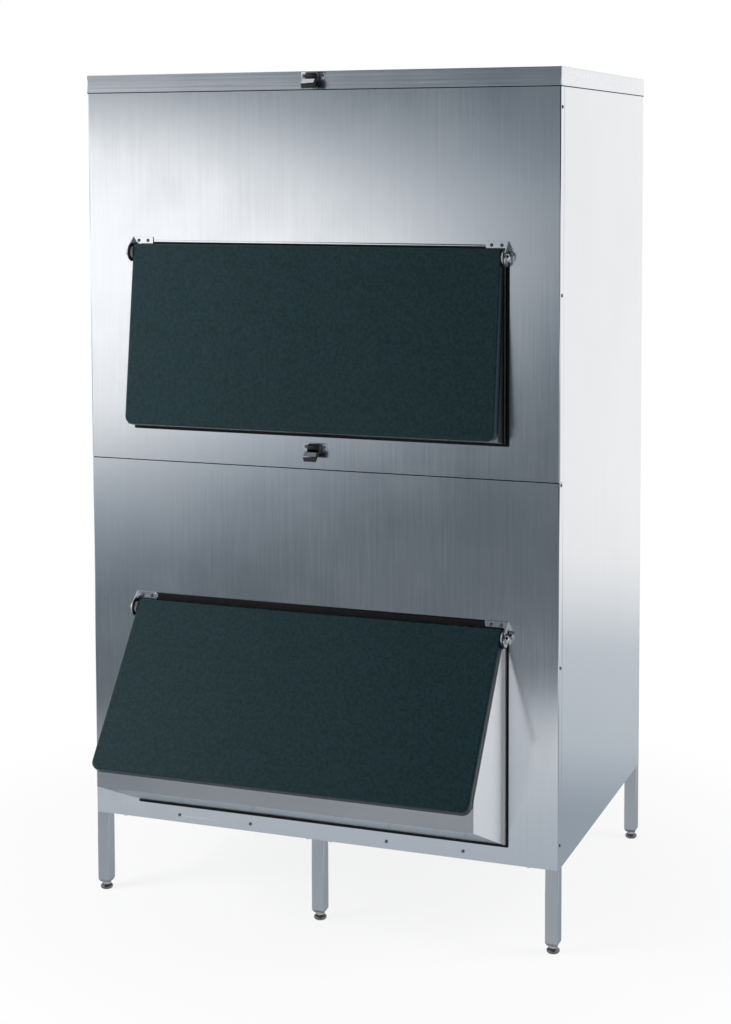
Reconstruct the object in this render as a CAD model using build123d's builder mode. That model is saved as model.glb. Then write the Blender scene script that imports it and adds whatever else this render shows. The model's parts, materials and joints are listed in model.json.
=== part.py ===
from build123d import *
from dataclasses import dataclass
from math import cos, radians, sin
import os

os.makedirs("parts", exist_ok=True)

# Cabinet, in millimetres. Depths are measured from the front panels towards the back.
cabinet_width = 1320
cabinet_depth = 930
cabinet_bottom = 221
cabinet_top = 2256
seam_height = 1216
seam_gap = 2.5
seam_lip = 10

# Casing sheet metal
casing_sheet = 1.5
bend_radius = 3
corner_return = 28
rear_return = 25
return_clearance = 0.5
cover_skirt = 47
cover_clearance = 0.2

# Insulation and liner
wall_insulation = 50
top_insulation_height = 50
liner_sheet = 2
sump_length = 130
floor_rise = 60
chute_width = 600
chute_length = 400
chute_corner = 25
chute_clearance = 0.3

# Base pan and drain
pan_sheet = 2.5
pan_flange = 25
drain_bore_radius = 10
drain_wall = 3
drain_hose_radius = 12
drain_hose_length = 30
drain_flange_radius = 28
drain_flange_thickness = 3
drain_below_cabinet = 35

# Legs and feet
leg_size = 35
leg_wall = 2
leg_plate_width = 90
leg_plate_thickness = 4
plate_clearance = 1
bolt_edge_distance = 12
bolt_radius = 4
bolt_head_across = 13
bolt_head_height = 5.3
plug_taper_height = 8
plug_taper_size = 26
plug_insert_length = 25
foot_pad_radius = 17
foot_base_radius = 14
foot_pad_height = 13
foot_rim_low = 4
foot_rim_high = 9
foot_hex_across = 22
foot_hex_height = 7
foot_stem_radius = 6
foot_stem_length = 60

# Openings and their rubber edging
opening_side_margin = 138
opening_over_hinge = 21.5
edging_width = 6
edging_proud = 2.5
edging_web = 1
edging_corner = 3
upper_sill_over_seam = 92
upper_opening_height = 494.5
lower_sill_over_bottom = 51
lower_opening_height = 562.5

# Doors
hinge_stand_off = 17
upper_door_tilt = 7.5
lower_door_tilt = 37.1
door_side_gap = 7
door_drop = 461
door_over_hinge = 22
door_thickness = 24
door_wall = 3
door_lining_thickness = 3
door_edge_round = 6
door_foot_round = 22
door_head_round = 8
door_fit = 0.3

# Hoppers behind the doors
hopper_sheet = 1.5
hopper_side_gap = 5
hopper_inner_depth = 35
hopper_lip = 8
hopper_plate_lip = 10
hopper_rest_gap = 0.3
cheek_joggle_start = 6
cheek_joggle_end = 3
cheek_below_hinge = 26
upper_hopper_height = 37
lower_hopper_height = 196.7
upper_hopper_rise = 14
lower_hopper_rise = 117

# Hinges
bracket_thickness = 3
bracket_plate_width = 60
bracket_plate_height = 19
bracket_side_clearance = 1.5
bracket_ear_radius = 22
bracket_clearance = 0.4
bush_flange_radius = 25
bush_flange_thickness = 2
bush_collar_radius = 8
spacer_radius = 16
pin_radius = 6
pin_running_clearance = 0.05
pin_in_door = 45
pin_head_radius = 12
pin_head_height = 9
pin_washer_radius = 14
pin_washer_thickness = 1.5
side_play = 0.3

# Catches
catch_plate_width = 66
catch_plate_height = 20
catch_plate_thickness = 2
catch_screw_offset = 26
upper_catch_below_top = 12
lower_catch_over_seam = 60
knuckle_width = 30
knuckle_radius = 9
knuckle_stand_off = 10
hook_sheet = 2
hook_gap = 0.3
hook_reach = 46
hook_drop = 34
hook_nose = 12
hook_heel = 6
catch_pin_radius = 2.5
catch_pin_clearance = 0.05
catch_pin_end = 1.5

# Screws
screw_head_radius = 4.5
screw_head_height = 2
screw_head_chamfer = 0.9
screw_radius = 2
screw_fit = 0.05
rail_screw_height = 241
rail_screw_offsets = (195, 406)
side_screw_heights = (283, 742, 1209, 1687, 2156)
back_screw_heights = (260, 730, 1200, 1670, 2140)
contact_gap = 0.3

# Sizes worked out from those above
half_width = cabinet_width / 2
half_opening = half_width - opening_side_margin
half_door = half_opening - door_side_gap
opening_width = 2 * half_opening
door_width = 2 * half_door
half_hopper = half_opening - hopper_side_gap
cover_reach = cover_clearance + casing_sheet
edging_outer = half_opening + edging_width
casing_rear = cabinet_depth - 2 * casing_sheet
casing_ceiling = cabinet_top - casing_sheet
liner_front = casing_sheet + wall_insulation
liner_rear = casing_rear - wall_insulation
liner_side = half_width - casing_sheet - wall_insulation
liner_rim = casing_ceiling - top_insulation_height - liner_sheet
upper_sill_height = seam_height + upper_sill_over_seam
lower_sill_height = cabinet_bottom + lower_sill_over_bottom
liner_floor = lower_sill_height - liner_sheet
pan_bottom = cabinet_bottom + leg_plate_thickness
pan_top = pan_bottom + pan_sheet
pan_inset = 2 * casing_sheet + return_clearance
plate_inset = 2 * casing_sheet + plate_clearance
leg_bottom = foot_pad_height + foot_hex_height + contact_gap + plug_taper_height
bracket_outer = half_opening + bracket_side_clearance + bracket_thickness
seam_upper = seam_height + seam_gap / 2
seam_lower = seam_height - seam_gap / 2
drain_outer_radius = drain_bore_radius + drain_wall
drain_depth = liner_front + sump_length / 2
drain_end = cabinet_bottom - drain_below_cabinet


def door_reach(tilt):
    """How far a hanging door's lower front edge stands in front of the panels."""
    down = (door_drop - door_edge_round) * sin(radians(tilt))
    out = (door_thickness / 2 - door_edge_round) * cos(radians(tilt))
    return hinge_stand_off + down + out + door_edge_round


front_reach = max(door_reach(upper_door_tilt), door_reach(lower_door_tilt))
rear_reach = cabinet_depth + max(cover_reach, screw_head_height)
front_y = (front_reach - rear_reach) / 2


@dataclass
class Bay:
    """One opening of the bin with its door, hopper and catch."""

    name: str
    sill_height: float
    opening_height: float
    door_tilt: float
    hopper_height: float
    hopper_rise: float
    catch_height: float
    catch_face: float

    def __post_init__(self):
        self.head_height = self.sill_height + self.opening_height
        self.middle_height = self.sill_height + self.opening_height / 2
        self.hinge_height = self.head_height - opening_over_hinge
        self.plate_along = self.along_at_height(hopper_rest_gap, self.sill_height + self.hopper_height)
        self.hopper_reach = -self.behind_door(hopper_rest_gap, self.plate_along)[0]

    def door_plane(self, lift=0):
        """Plane through the hinge axis: x along it, y up the door, z out of its front."""
        outward = (0, -cos(radians(self.door_tilt)), sin(radians(self.door_tilt)))
        hinge = (0, front_y - hinge_stand_off, self.hinge_height)
        return Plane(origin=hinge, x_dir=(1, 0, 0), z_dir=outward).offset(lift)

    def behind_door(self, gap, along):
        """Depth and height of a point behind the door's back, a way down along it."""
        back = door_thickness / 2 + gap
        lean = radians(self.door_tilt)
        depth = -hinge_stand_off + back * cos(lean) - along * sin(lean)
        height = self.hinge_height - back * sin(lean) - along * cos(lean)
        return depth, height

    def along_at_height(self, gap, height):
        return (self.behind_door(gap, 0)[1] - height) / cos(radians(self.door_tilt))


upper = Bay(
    "upper",
    upper_sill_height,
    upper_opening_height,
    upper_door_tilt,
    upper_hopper_height,
    upper_hopper_rise,
    cabinet_top - upper_catch_below_top,
    cover_reach,
)
lower = Bay(
    "lower",
    lower_sill_height,
    lower_opening_height,
    lower_door_tilt,
    lower_hopper_height,
    lower_hopper_rise,
    seam_height + lower_catch_over_seam,
    0,
)
bays = (upper, lower)

# Side view plane: x is the depth behind the front panels, y is the height
side_view = Plane(origin=(0, front_y, 0), x_dir=(0, 1, 0), z_dir=(1, 0, 0))


def front_view(depth):
    """Front view plane at a depth: x to the right, y up, normal towards the user."""
    return Plane.XZ.offset(-front_y - depth)


def plan_view(height):
    """Plan view plane at a height: x to the right, y the depth behind the panels."""
    return Plane(origin=(0, front_y, height), x_dir=(1, 0, 0), z_dir=(0, 0, 1))


def keep(piece, name):
    piece.part.label = name
    export_step(piece.part, f"parts/{name}.step")


def place(x, depth, height, outward):
    return Plane(origin=(x, front_y + depth, height), z_dir=outward)


def drill(places, radius, length):
    """Cut a hole through the piece being built at each place."""
    with Locations(*places):
        Cylinder(radius, length, mode=Mode.SUBTRACT)


# Places of the casing screws
corner_screw_places = [
    place(side * half_width, corner_return / 2, height, (side, 0, 0))
    for side in (-1, 1)
    for height in side_screw_heights
]
rail_screw_places = [
    place(side * offset_x, 0, rail_screw_height, (0, -1, 0))
    for side in (-1, 1)
    for offset_x in rail_screw_offsets
]
back_screw_places = [
    place(side * (half_width - rear_return / 2), cabinet_depth, height, (0, 1, 0))
    for side in (-1, 1)
    for height in back_screw_heights
]


def bracket_screw_places(bay):
    """Two screws through each bracket plate."""
    middle = bracket_outer - bracket_plate_width / 2
    height = bay.head_height + bracket_plate_height / 2
    return [
        place(side * (middle + step), -bracket_thickness, height, (0, -1, 0))
        for side in (-1, 1)
        for step in (-bracket_plate_width / 4, bracket_plate_width / 4 - bracket_thickness)
    ]


def catch_screw_places(bay):
    depth = -bay.catch_face - catch_plate_thickness
    return [
        place(side * catch_screw_offset, depth, bay.catch_height, (0, -1, 0)) for side in (-1, 1)
    ]


# Places of the legs: sides -1, 0 and 1 from the left, ends -1 at the front and 1 at the back
def inset_from_casing(side, end, size, inset):
    """Plan centre of a square that stands an inset inside the casing's outline."""
    reach = inset + size / 2
    return side * (half_width - reach), cabinet_depth / 2 + end * (cabinet_depth / 2 - reach)


def leg_centre(side, end):
    return inset_from_casing(side, end, leg_size, 0)


def plate_centre(side, end):
    return inset_from_casing(side, end, leg_plate_width, plate_inset)


def leg_bolt_spots(side, end):
    """Bolts near the plate's corners, without the corner that a corner leg covers."""
    centre_x, centre_depth = plate_centre(side, end)
    step = leg_plate_width / 2 - bolt_edge_distance
    return [
        place(centre_x + across * step, centre_depth + along * step, cabinet_bottom, (0, 0, 1))
        for across in (-1, 1)
        for along in (-1, 1)
        if (across, along) != (side, end)
    ]


leg_spots = [(side, end) for side in (-1, 0, 1) for end in (-1, 1)]
leg_bolt_places = [spot for side, end in leg_spots for spot in leg_bolt_spots(side, end)]


# Front panels: one folded sheet each, wrapped round both front corners
def front_panel(bay, low, high, lip_height):
    with BuildPart() as panel:
        with BuildSketch(plan_view(low)):
            with BuildLine():
                FilletPolyline(
                    (-half_width, corner_return),
                    (-half_width, 0),
                    (half_width, 0),
                    (half_width, corner_return),
                    radius=bend_radius,
                )
                offset(amount=casing_sheet, side=Side.LEFT)
            make_face()
        extrude(amount=high - low)
        with BuildSketch(plan_view(lip_height)):
            with Locations((0, (casing_sheet + seam_lip) / 2)):
                Rectangle(2 * (half_width - pan_inset), seam_lip - casing_sheet)
        extrude(amount=casing_sheet)
        with BuildSketch(front_view(0)):
            with Locations((0, bay.middle_height)):
                Rectangle(
                    2 * (half_opening + edging_web),
                    bay.opening_height + 2 * edging_web,
                )
        extrude(amount=-casing_sheet, mode=Mode.SUBTRACT)
        drill(corner_screw_places, screw_radius + screw_fit, 2 * corner_return)
        drill(bracket_screw_places(bay), screw_radius + screw_fit, 2 * corner_return)
        if low < rail_screw_height < high:
            drill(rail_screw_places, screw_radius + screw_fit, 2 * corner_return)
        if low < lower.catch_height < high:
            drill(catch_screw_places(lower), screw_radius + screw_fit, 2 * corner_return)
    return panel


keep(front_panel(upper, seam_upper, casing_ceiling, seam_upper), "upper_front_panel")
keep(
    front_panel(lower, cabinet_bottom, seam_lower, seam_lower - casing_sheet),
    "lower_front_panel",
)

# Side panels: joggled in behind the front return, folded in at the back
with BuildPart() as right_side_panel:
    with BuildSketch(plan_view(cabinet_bottom)):
        with BuildLine():
            Polyline(
                (half_width - casing_sheet, bend_radius + return_clearance),
                (half_width - casing_sheet, corner_return + return_clearance),
                (half_width, corner_return + return_clearance + 2 * casing_sheet),
                (half_width, cabinet_depth - casing_sheet),
                (half_width - rear_return, cabinet_depth - casing_sheet),
            )
            offset(amount=casing_sheet, side=Side.LEFT)
        make_face()
    extrude(amount=casing_ceiling - cabinet_bottom)
    drill(corner_screw_places, screw_radius + screw_fit, 2 * corner_return)
    drill(back_screw_places, screw_radius + screw_fit, 2 * corner_return)
keep(right_side_panel, "right_side_panel")

with BuildPart() as left_side_panel:
    add(right_side_panel.part)
    mirror(about=Plane.YZ, mode=Mode.REPLACE)
keep(left_side_panel, "left_side_panel")

with BuildPart() as back_panel:
    with BuildSketch(front_view(cabinet_depth)):
        with Locations((0, (cabinet_bottom + casing_ceiling) / 2)):
            Rectangle(cabinet_width, casing_ceiling - cabinet_bottom)
    extrude(amount=casing_sheet)
    drill(back_screw_places, screw_radius + screw_fit, 2 * corner_return)
keep(back_panel, "back_panel")


def chute_sketch(clearance):
    """Rounded outline of the ice chute, grown by a clearance."""
    RectangleRounded(
        chute_width + 2 * clearance,
        chute_length + 2 * clearance,
        chute_corner + clearance,
    )


# Cover: a pan with a skirt outside the casing and the hole for the ice chute
with BuildPart() as top_cover:
    with BuildSketch(plan_view(cabinet_top - cover_skirt)):
        with Locations((0, cabinet_depth / 2)):
            Rectangle(cabinet_width + 2 * cover_reach, cabinet_depth + 2 * cover_reach)
        fillet(vertices(), bend_radius)
    extrude(amount=cover_skirt)
    fillet(faces().sort_by(Axis.Z)[-1].edges(), casing_sheet)
    with BuildSketch(plan_view(cabinet_top - cover_skirt)):
        with Locations((0, cabinet_depth / 2)):
            Rectangle(cabinet_width + 2 * cover_clearance, cabinet_depth + 2 * cover_clearance)
    extrude(amount=cover_skirt - casing_sheet, mode=Mode.SUBTRACT)
    with BuildSketch(plan_view(casing_ceiling)):
        with Locations((0, cabinet_depth / 2)):
            chute_sketch(liner_sheet + chute_clearance)
    extrude(amount=casing_sheet, mode=Mode.SUBTRACT)
    drill(catch_screw_places(upper), screw_radius + screw_fit, 2 * corner_return)
keep(top_cover, "top_cover")

# Base pan: flat floor sheet with flanges turned up behind the front and back panels
with BuildPart() as base_pan:
    with BuildSketch(side_view):
        with BuildLine():
            FilletPolyline(
                (casing_rear, pan_bottom + pan_flange),
                (casing_rear, pan_bottom),
                (casing_sheet, pan_bottom),
                (casing_sheet, pan_bottom + pan_flange),
                radius=bend_radius,
            )
            offset(amount=pan_sheet, side=Side.RIGHT)
        make_face()
    extrude(amount=half_width - pan_inset, both=True)
    drill(rail_screw_places, screw_radius + screw_fit, 2 * corner_return)
    drill([place(0, drain_depth, pan_bottom, (0, 0, 1))], drain_outer_radius + contact_gap, pan_flange)
    drill(leg_bolt_places, bolt_radius + screw_fit, pan_flange)
keep(base_pan, "base_pan")


# Insulation slabs between the casing and the liner
def front_insulation(bay, low, high):
    """Slab behind a front panel with the hole for the opening's sleeve."""
    with BuildPart() as slab:
        with BuildSketch(front_view(casing_sheet)):
            with Locations((0, (low + high) / 2)):
                Rectangle(2 * (half_width - 2 * casing_sheet), high - low)
            with Locations((0, bay.middle_height)):
                Rectangle(
                    opening_width + 2 * liner_sheet,
                    bay.opening_height + 2 * liner_sheet,
                    mode=Mode.SUBTRACT,
                )
        extrude(amount=-wall_insulation)
    return slab


def cut_flange_recess(depth, way):
    """Room for a flange of the base pan and its bend, from a depth forwards or backwards."""
    recess_top = pan_bottom + pan_flange + contact_gap
    with BuildSketch(side_view) as recess:
        with BuildLine():
            Polyline(
                (depth, pan_top),
                (depth + way * (pan_sheet + bend_radius), pan_top),
                (depth + way * pan_sheet, pan_top + bend_radius),
                (depth + way * pan_sheet, recess_top),
                (depth, recess_top),
                close=True,
            )
        make_face()
    extrude(recess.sketch, amount=half_width, both=True, mode=Mode.SUBTRACT)


lip_clearance = casing_sheet + contact_gap
keep(
    front_insulation(upper, seam_upper + lip_clearance, casing_ceiling),
    "upper_front_insulation",
)

with BuildPart() as lower_front_insulation:
    add(front_insulation(lower, pan_top, seam_lower - lip_clearance).part)
    cut_flange_recess(casing_sheet, 1)
keep(lower_front_insulation, "lower_front_insulation")

with BuildPart() as back_insulation:
    with BuildSketch(front_view(casing_rear)):
        with Locations((0, (pan_top + casing_ceiling) / 2)):
            Rectangle(2 * (half_width - casing_sheet), casing_ceiling - pan_top)
    extrude(amount=wall_insulation)
    cut_flange_recess(casing_rear, -1)
keep(back_insulation, "back_insulation")

for side, side_name in ((-1, "left"), (1, "right")):
    with BuildPart() as side_insulation:
        with BuildSketch(plan_view(pan_top)):
            with Locations((side * (liner_side + wall_insulation / 2), (liner_front + liner_rear) / 2)):
                Rectangle(wall_insulation, liner_rear - liner_front)
        extrude(amount=casing_ceiling - pan_top)
    keep(side_insulation, f"{side_name}_insulation")

with BuildPart() as top_insulation:
    with BuildSketch(plan_view(casing_ceiling)):
        with Locations((0, (liner_front + liner_rear) / 2)):
            Rectangle(2 * liner_side, liner_rear - liner_front)
        with Locations((0, cabinet_depth / 2)):
            RectangleRounded(
                chute_width + 2 * liner_sheet,
                chute_length + 2 * liner_sheet,
                chute_corner + liner_sheet,
                mode=Mode.SUBTRACT,
            )
    extrude(amount=-top_insulation_height)
keep(top_insulation, "top_insulation")

with BuildPart() as floor_insulation:
    with BuildSketch(side_view):
        with BuildLine():
            Polyline(
                (liner_front, pan_top),
                (liner_rear, pan_top),
                (liner_rear, liner_floor + floor_rise),
                (liner_front + sump_length, liner_floor),
                (liner_front, liner_floor),
                close=True,
            )
        make_face()
    extrude(amount=liner_side, both=True)
    drill([place(0, drain_depth, pan_top, (0, 0, 1))], drain_outer_radius + contact_gap, pan_top)
keep(floor_insulation, "floor_insulation")

# Liner tub: sloping floor with a flat sump, open top, and a sleeve to each opening
with BuildPart() as liner_tub:
    with BuildSketch(side_view):
        with BuildLine():
            Polyline(
                (liner_front, liner_floor),
                (liner_front + sump_length, liner_floor),
                (liner_rear, liner_floor + floor_rise),
                (liner_rear, liner_rim),
                (liner_front, liner_rim),
                close=True,
            )
        make_face()
    extrude(amount=liner_side, both=True)
    offset(amount=-liner_sheet, openings=faces().sort_by(Axis.Z)[-1])
    for bay in bays:
        with BuildSketch(front_view(casing_sheet)):
            with Locations((0, bay.middle_height)):
                Rectangle(
                    opening_width + 2 * liner_sheet,
                    bay.opening_height + 2 * liner_sheet,
                )
        extrude(amount=-wall_insulation)
        with BuildSketch(front_view(casing_sheet)):
            with Locations((0, bay.middle_height)):
                Rectangle(opening_width, bay.opening_height)
        extrude(amount=-wall_insulation - liner_sheet, mode=Mode.SUBTRACT)
    drill([place(0, drain_depth, liner_floor, (0, 0, 1))], drain_outer_radius + contact_gap, pan_flange)
keep(liner_tub, "liner_tub")

# Liner top with the ice chute, which passes up through the insulation and the cover
with BuildPart() as liner_top:
    with BuildSketch(plan_view(liner_rim)):
        with Locations((0, (liner_front + liner_rear) / 2)):
            Rectangle(2 * liner_side, liner_rear - liner_front)
    extrude(amount=liner_sheet)
    with BuildSketch(plan_view(liner_rim)):
        with Locations((0, cabinet_depth / 2)):
            chute_sketch(liner_sheet)
    extrude(amount=cabinet_top - liner_rim)
    with BuildSketch(plan_view(liner_rim)):
        with Locations((0, cabinet_depth / 2)):
            chute_sketch(0)
    extrude(amount=cabinet_top - liner_rim, mode=Mode.SUBTRACT)
keep(liner_top, "liner_top")

# Drain spigot: a flange on the sump floor and a pipe down through the base to a hose end
with BuildPart() as drain_spigot:
    with BuildSketch(Plane(origin=(0, front_y + drain_depth, 0), x_dir=(1, 0, 0), z_dir=(0, -1, 0))):
        with BuildLine():
            Polyline(
                (drain_bore_radius, drain_end),
                (drain_hose_radius, drain_end),
                (drain_hose_radius, drain_end + drain_hose_length),
                (drain_outer_radius, drain_end + drain_hose_length),
                (drain_outer_radius, lower_sill_height),
                (drain_flange_radius, lower_sill_height),
                (drain_flange_radius, lower_sill_height + drain_flange_thickness / 2),
                (drain_outer_radius, lower_sill_height + drain_flange_thickness),
                (drain_bore_radius, lower_sill_height + drain_flange_thickness / 2),
                close=True,
            )
        make_face()
    revolve(axis=Axis((0, front_y + drain_depth, 0), (0, 0, 1)))
keep(drain_spigot, "drain_spigot")


# Rubber edging round an opening, cut away where the hinge brackets sit
def opening_edging(bay):
    notch_inner = bracket_outer - bracket_plate_width - bracket_clearance
    with BuildPart() as edging:
        with BuildSketch(front_view(0)):
            with Locations((0, bay.middle_height)):
                RectangleRounded(
                    2 * edging_outer,
                    bay.opening_height + 2 * edging_width,
                    edging_corner,
                )
        extrude(amount=edging_proud)
        with BuildSketch(front_view(0)):
            with Locations((0, bay.middle_height)):
                Rectangle(2 * (half_opening + edging_web), bay.opening_height + 2 * edging_web)
        extrude(amount=-casing_sheet)
        with BuildSketch(front_view(casing_sheet)):
            with Locations((0, bay.middle_height)):
                Rectangle(opening_width, bay.opening_height)
        extrude(amount=casing_sheet + edging_proud, mode=Mode.SUBTRACT)
        with BuildSketch(front_view(0)):
            with Locations((0, bay.head_height)):
                with GridLocations(edging_outer + notch_inner, 0, 2, 1):
                    Rectangle(
                        edging_outer - notch_inner,
                        2 * (edging_width + bracket_clearance),
                    )
        extrude(amount=edging_proud, mode=Mode.SUBTRACT)
    return edging


# Hopper cheek: a triangular plate, joggled out inside the opening, its front edge folded in
def hopper_cheek(bay):
    seat_height = bay.sill_height + contact_gap
    top_height = bay.hinge_height - cheek_below_hinge
    top_along = bay.along_at_height(hopper_rest_gap, top_height)
    lip_end = bay.plate_along - hopper_plate_lip - contact_gap
    with BuildPart() as cheek:
        with BuildSketch(plan_view(bay.sill_height)):
            with BuildLine():
                Polyline(
                    (half_hopper, -bay.hopper_reach),
                    (half_hopper, -cheek_joggle_start),
                    (half_opening - contact_gap, cheek_joggle_end),
                    (half_opening - contact_gap, hopper_inner_depth),
                )
                offset(amount=hopper_sheet, side=Side.LEFT)
            make_face()
        extrude(amount=bay.opening_height)
        with BuildSketch(side_view):
            with BuildLine():
                Polyline(
                    (hopper_inner_depth, seat_height),
                    (-edging_proud - contact_gap, seat_height),
                    (-bay.hopper_reach, bay.sill_height + bay.hopper_rise),
                    bay.behind_door(hopper_rest_gap, bay.plate_along),
                    bay.behind_door(hopper_rest_gap, top_along),
                    (hopper_inner_depth, top_height),
                    close=True,
                )
            make_face()
        extrude(amount=cabinet_width, both=True, mode=Mode.INTERSECT)
        with BuildSketch(bay.door_plane(-door_thickness / 2 - hopper_rest_gap)):
            with Locations((half_hopper - hopper_lip / 2, -(top_along + lip_end) / 2)):
                Rectangle(hopper_lip, lip_end - top_along)
        extrude(amount=-hopper_sheet)
    return cheek


# Hopper tray: the floor folds up into the front plate and back behind the door
def hopper_tray(bay):
    seat_height = bay.sill_height + contact_gap
    with BuildPart() as tray:
        with BuildSketch(side_view):
            with BuildLine():
                Polyline(
                    (hopper_inner_depth, seat_height),
                    (-edging_proud - contact_gap, seat_height),
                    (-bay.hopper_reach, bay.sill_height + bay.hopper_rise),
                    bay.behind_door(hopper_rest_gap, bay.plate_along),
                    bay.behind_door(hopper_rest_gap, bay.plate_along - hopper_plate_lip),
                )
                offset(amount=hopper_sheet, side=Side.RIGHT)
            make_face()
        extrude(amount=half_hopper - hopper_sheet, both=True)
    return tray


# Door: moulded shell open at the back, foam core and a lining panel let into the back
def door_outline(inset):
    """Outline on the door's plane, with large lower and small upper corners."""
    with Locations((0, (door_over_hinge - door_drop) / 2)):
        Rectangle(door_width - 2 * inset, door_over_hinge + door_drop - 2 * inset)
    fillet(vertices().group_by(Axis.Y)[0], door_foot_round - inset)
    fillet(vertices().group_by(Axis.Y)[-1], door_head_round - inset)


def pin_places(bay):
    """Planes at both ends of the hinge axis, facing outwards."""
    return [place(side * half_door, -hinge_stand_off, bay.hinge_height, (side, 0, 0)) for side in (-1, 1)]


def door_shell(bay):
    with BuildPart() as shell:
        with BuildSketch(bay.door_plane(-door_thickness / 2)):
            door_outline(0)
        extrude(amount=door_thickness)
        front_face = faces().sort_by(Axis((0, 0, 0), bay.door_plane().z_dir))[-1]
        fillet(front_face.edges(), door_edge_round)
        with BuildSketch(bay.door_plane(-door_thickness / 2)):
            door_outline(door_wall)
        extrude(amount=door_thickness - door_wall, mode=Mode.SUBTRACT)
        drill(pin_places(bay), pin_radius + pin_running_clearance, 2 * pin_in_door)
    return shell


def door_core(bay):
    with BuildPart() as core:
        with BuildSketch(bay.door_plane(-door_thickness / 2 + door_lining_thickness)):
            door_outline(door_wall)
        extrude(amount=door_thickness - door_wall - door_lining_thickness)
        drill(pin_places(bay), pin_radius + pin_running_clearance, 2 * pin_in_door + 2 * contact_gap)
    return core


def door_lining(bay):
    with BuildPart() as lining:
        with BuildSketch(bay.door_plane(-door_thickness / 2)):
            door_outline(door_wall + door_fit)
        extrude(amount=door_lining_thickness)
    return lining


# Hinge bracket: a plate on the front panel and an ear folded forward round the pin
def hinge_bracket(bay):
    plate_low = bay.head_height
    plate_high = plate_low + bracket_plate_height
    with BuildPart() as bracket:
        with BuildSketch(side_view.offset(bracket_outer - bracket_thickness)):
            with Locations((-bracket_thickness / 2, (plate_low + plate_high) / 2)):
                Rectangle(bracket_thickness, bracket_plate_height)
            with Locations((-hinge_stand_off, bay.hinge_height)):
                Circle(bracket_ear_radius)
            make_hull()
            with Locations((-bracket_thickness - bracket_clearance, plate_low)):
                Rectangle(
                    2 * bracket_ear_radius,
                    2 * bracket_ear_radius,
                    align=(Align.MIN, Align.MAX),
                    mode=Mode.SUBTRACT,
                )
            with Locations((0, plate_low)):
                Rectangle(
                    bracket_ear_radius,
                    bracket_plate_height,
                    align=(Align.MIN, Align.MIN),
                    mode=Mode.SUBTRACT,
                )
        extrude(amount=bracket_thickness)
        with BuildSketch(front_view(0)):
            with Locations((bracket_outer - bracket_plate_width / 2, (plate_low + plate_high) / 2)):
                Rectangle(bracket_plate_width, bracket_plate_height)
        extrude(amount=bracket_thickness)
        inner_end = edges().filter_by(Axis.Y).group_by(Axis.X)[0]
        fillet(inner_end, bend_radius)
        drill(pin_places(bay), bush_collar_radius + pin_running_clearance, 2 * bracket_plate_width)
        drill(bracket_screw_places(bay), screw_radius + screw_fit, 2 * corner_return)
    return bracket


def hinge_bush(bay):
    """Flanged bush in the bracket's bore; its flange is cut straight beside the panel."""
    inner_face = bracket_outer - bracket_thickness - bush_flange_thickness
    with BuildPart() as bush:
        with BuildSketch(side_view.offset(inner_face)):
            with Locations((-hinge_stand_off, bay.hinge_height)):
                Circle(bush_flange_radius)
            with Locations((-bracket_thickness - bracket_clearance, bay.hinge_height)):
                Rectangle(
                    2 * bush_flange_radius,
                    2 * bush_flange_radius,
                    align=(Align.MIN, Align.CENTER),
                    mode=Mode.SUBTRACT,
                )
        extrude(amount=bush_flange_thickness)
        with BuildSketch(side_view.offset(inner_face)):
            with Locations((-hinge_stand_off, bay.hinge_height)):
                Circle(bush_collar_radius)
        extrude(amount=bush_flange_thickness + bracket_thickness)
        drill(pin_places(bay), pin_radius + pin_running_clearance, 2 * bracket_plate_width)
    return bush


def ring(bay, start, length, radius):
    """Plain ring round the hinge pin on the right, from a width outwards."""
    with BuildPart() as piece:
        with BuildSketch(side_view.offset(start)):
            with Locations((-hinge_stand_off, bay.hinge_height)):
                Circle(radius)
                Circle(pin_radius + pin_running_clearance, mode=Mode.SUBTRACT)
        extrude(amount=length)
    return piece


def hinge_pin(bay):
    """Pin from the door's end out through the bracket, with a domed round head."""
    head_start = bracket_outer + pin_washer_thickness + side_play
    with BuildPart() as pin:
        with BuildSketch(side_view.offset(half_door - pin_in_door)):
            with Locations((-hinge_stand_off, bay.hinge_height)):
                Circle(pin_radius)
        extrude(amount=pin_in_door + head_start - half_door)
        with BuildSketch(side_view.offset(head_start)):
            with Locations((-hinge_stand_off, bay.hinge_height)):
                Circle(pin_head_radius)
        extrude(amount=pin_head_height)
        fillet(edges().group_by(Axis.X)[-1], pin_head_height / 3)
    return pin


def keep_pairs(makers, name):
    """One node of right-hand pieces and their mirror images on the left."""
    with BuildPart() as group:
        for piece in makers:
            add(piece.part)
        mirror(about=Plane.YZ)
    keep(group, name)


spacer_start = half_door + side_play
spacer_length = bracket_outer - bracket_thickness - bush_flange_thickness - spacer_start - contact_gap
for bay in bays:
    keep(opening_edging(bay), f"{bay.name}_opening_edging")
    keep(hopper_tray(bay), f"{bay.name}_hopper_tray")
    cheek = hopper_cheek(bay)
    keep(cheek, f"{bay.name}_hopper_right_cheek")
    with BuildPart() as left_cheek:
        add(cheek.part)
        mirror(about=Plane.YZ, mode=Mode.REPLACE)
    keep(left_cheek, f"{bay.name}_hopper_left_cheek")
    keep(door_shell(bay), f"{bay.name}_door_shell")
    keep(door_core(bay), f"{bay.name}_door_core")
    keep(door_lining(bay), f"{bay.name}_door_lining")
    bracket = hinge_bracket(bay)
    keep(bracket, f"{bay.name}_right_hinge_bracket")
    with BuildPart() as left_bracket:
        add(bracket.part)
        mirror(about=Plane.YZ, mode=Mode.REPLACE)
    keep(left_bracket, f"{bay.name}_left_hinge_bracket")
    keep_pairs([hinge_pin(bay)], f"{bay.name}_hinge_pins")

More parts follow.
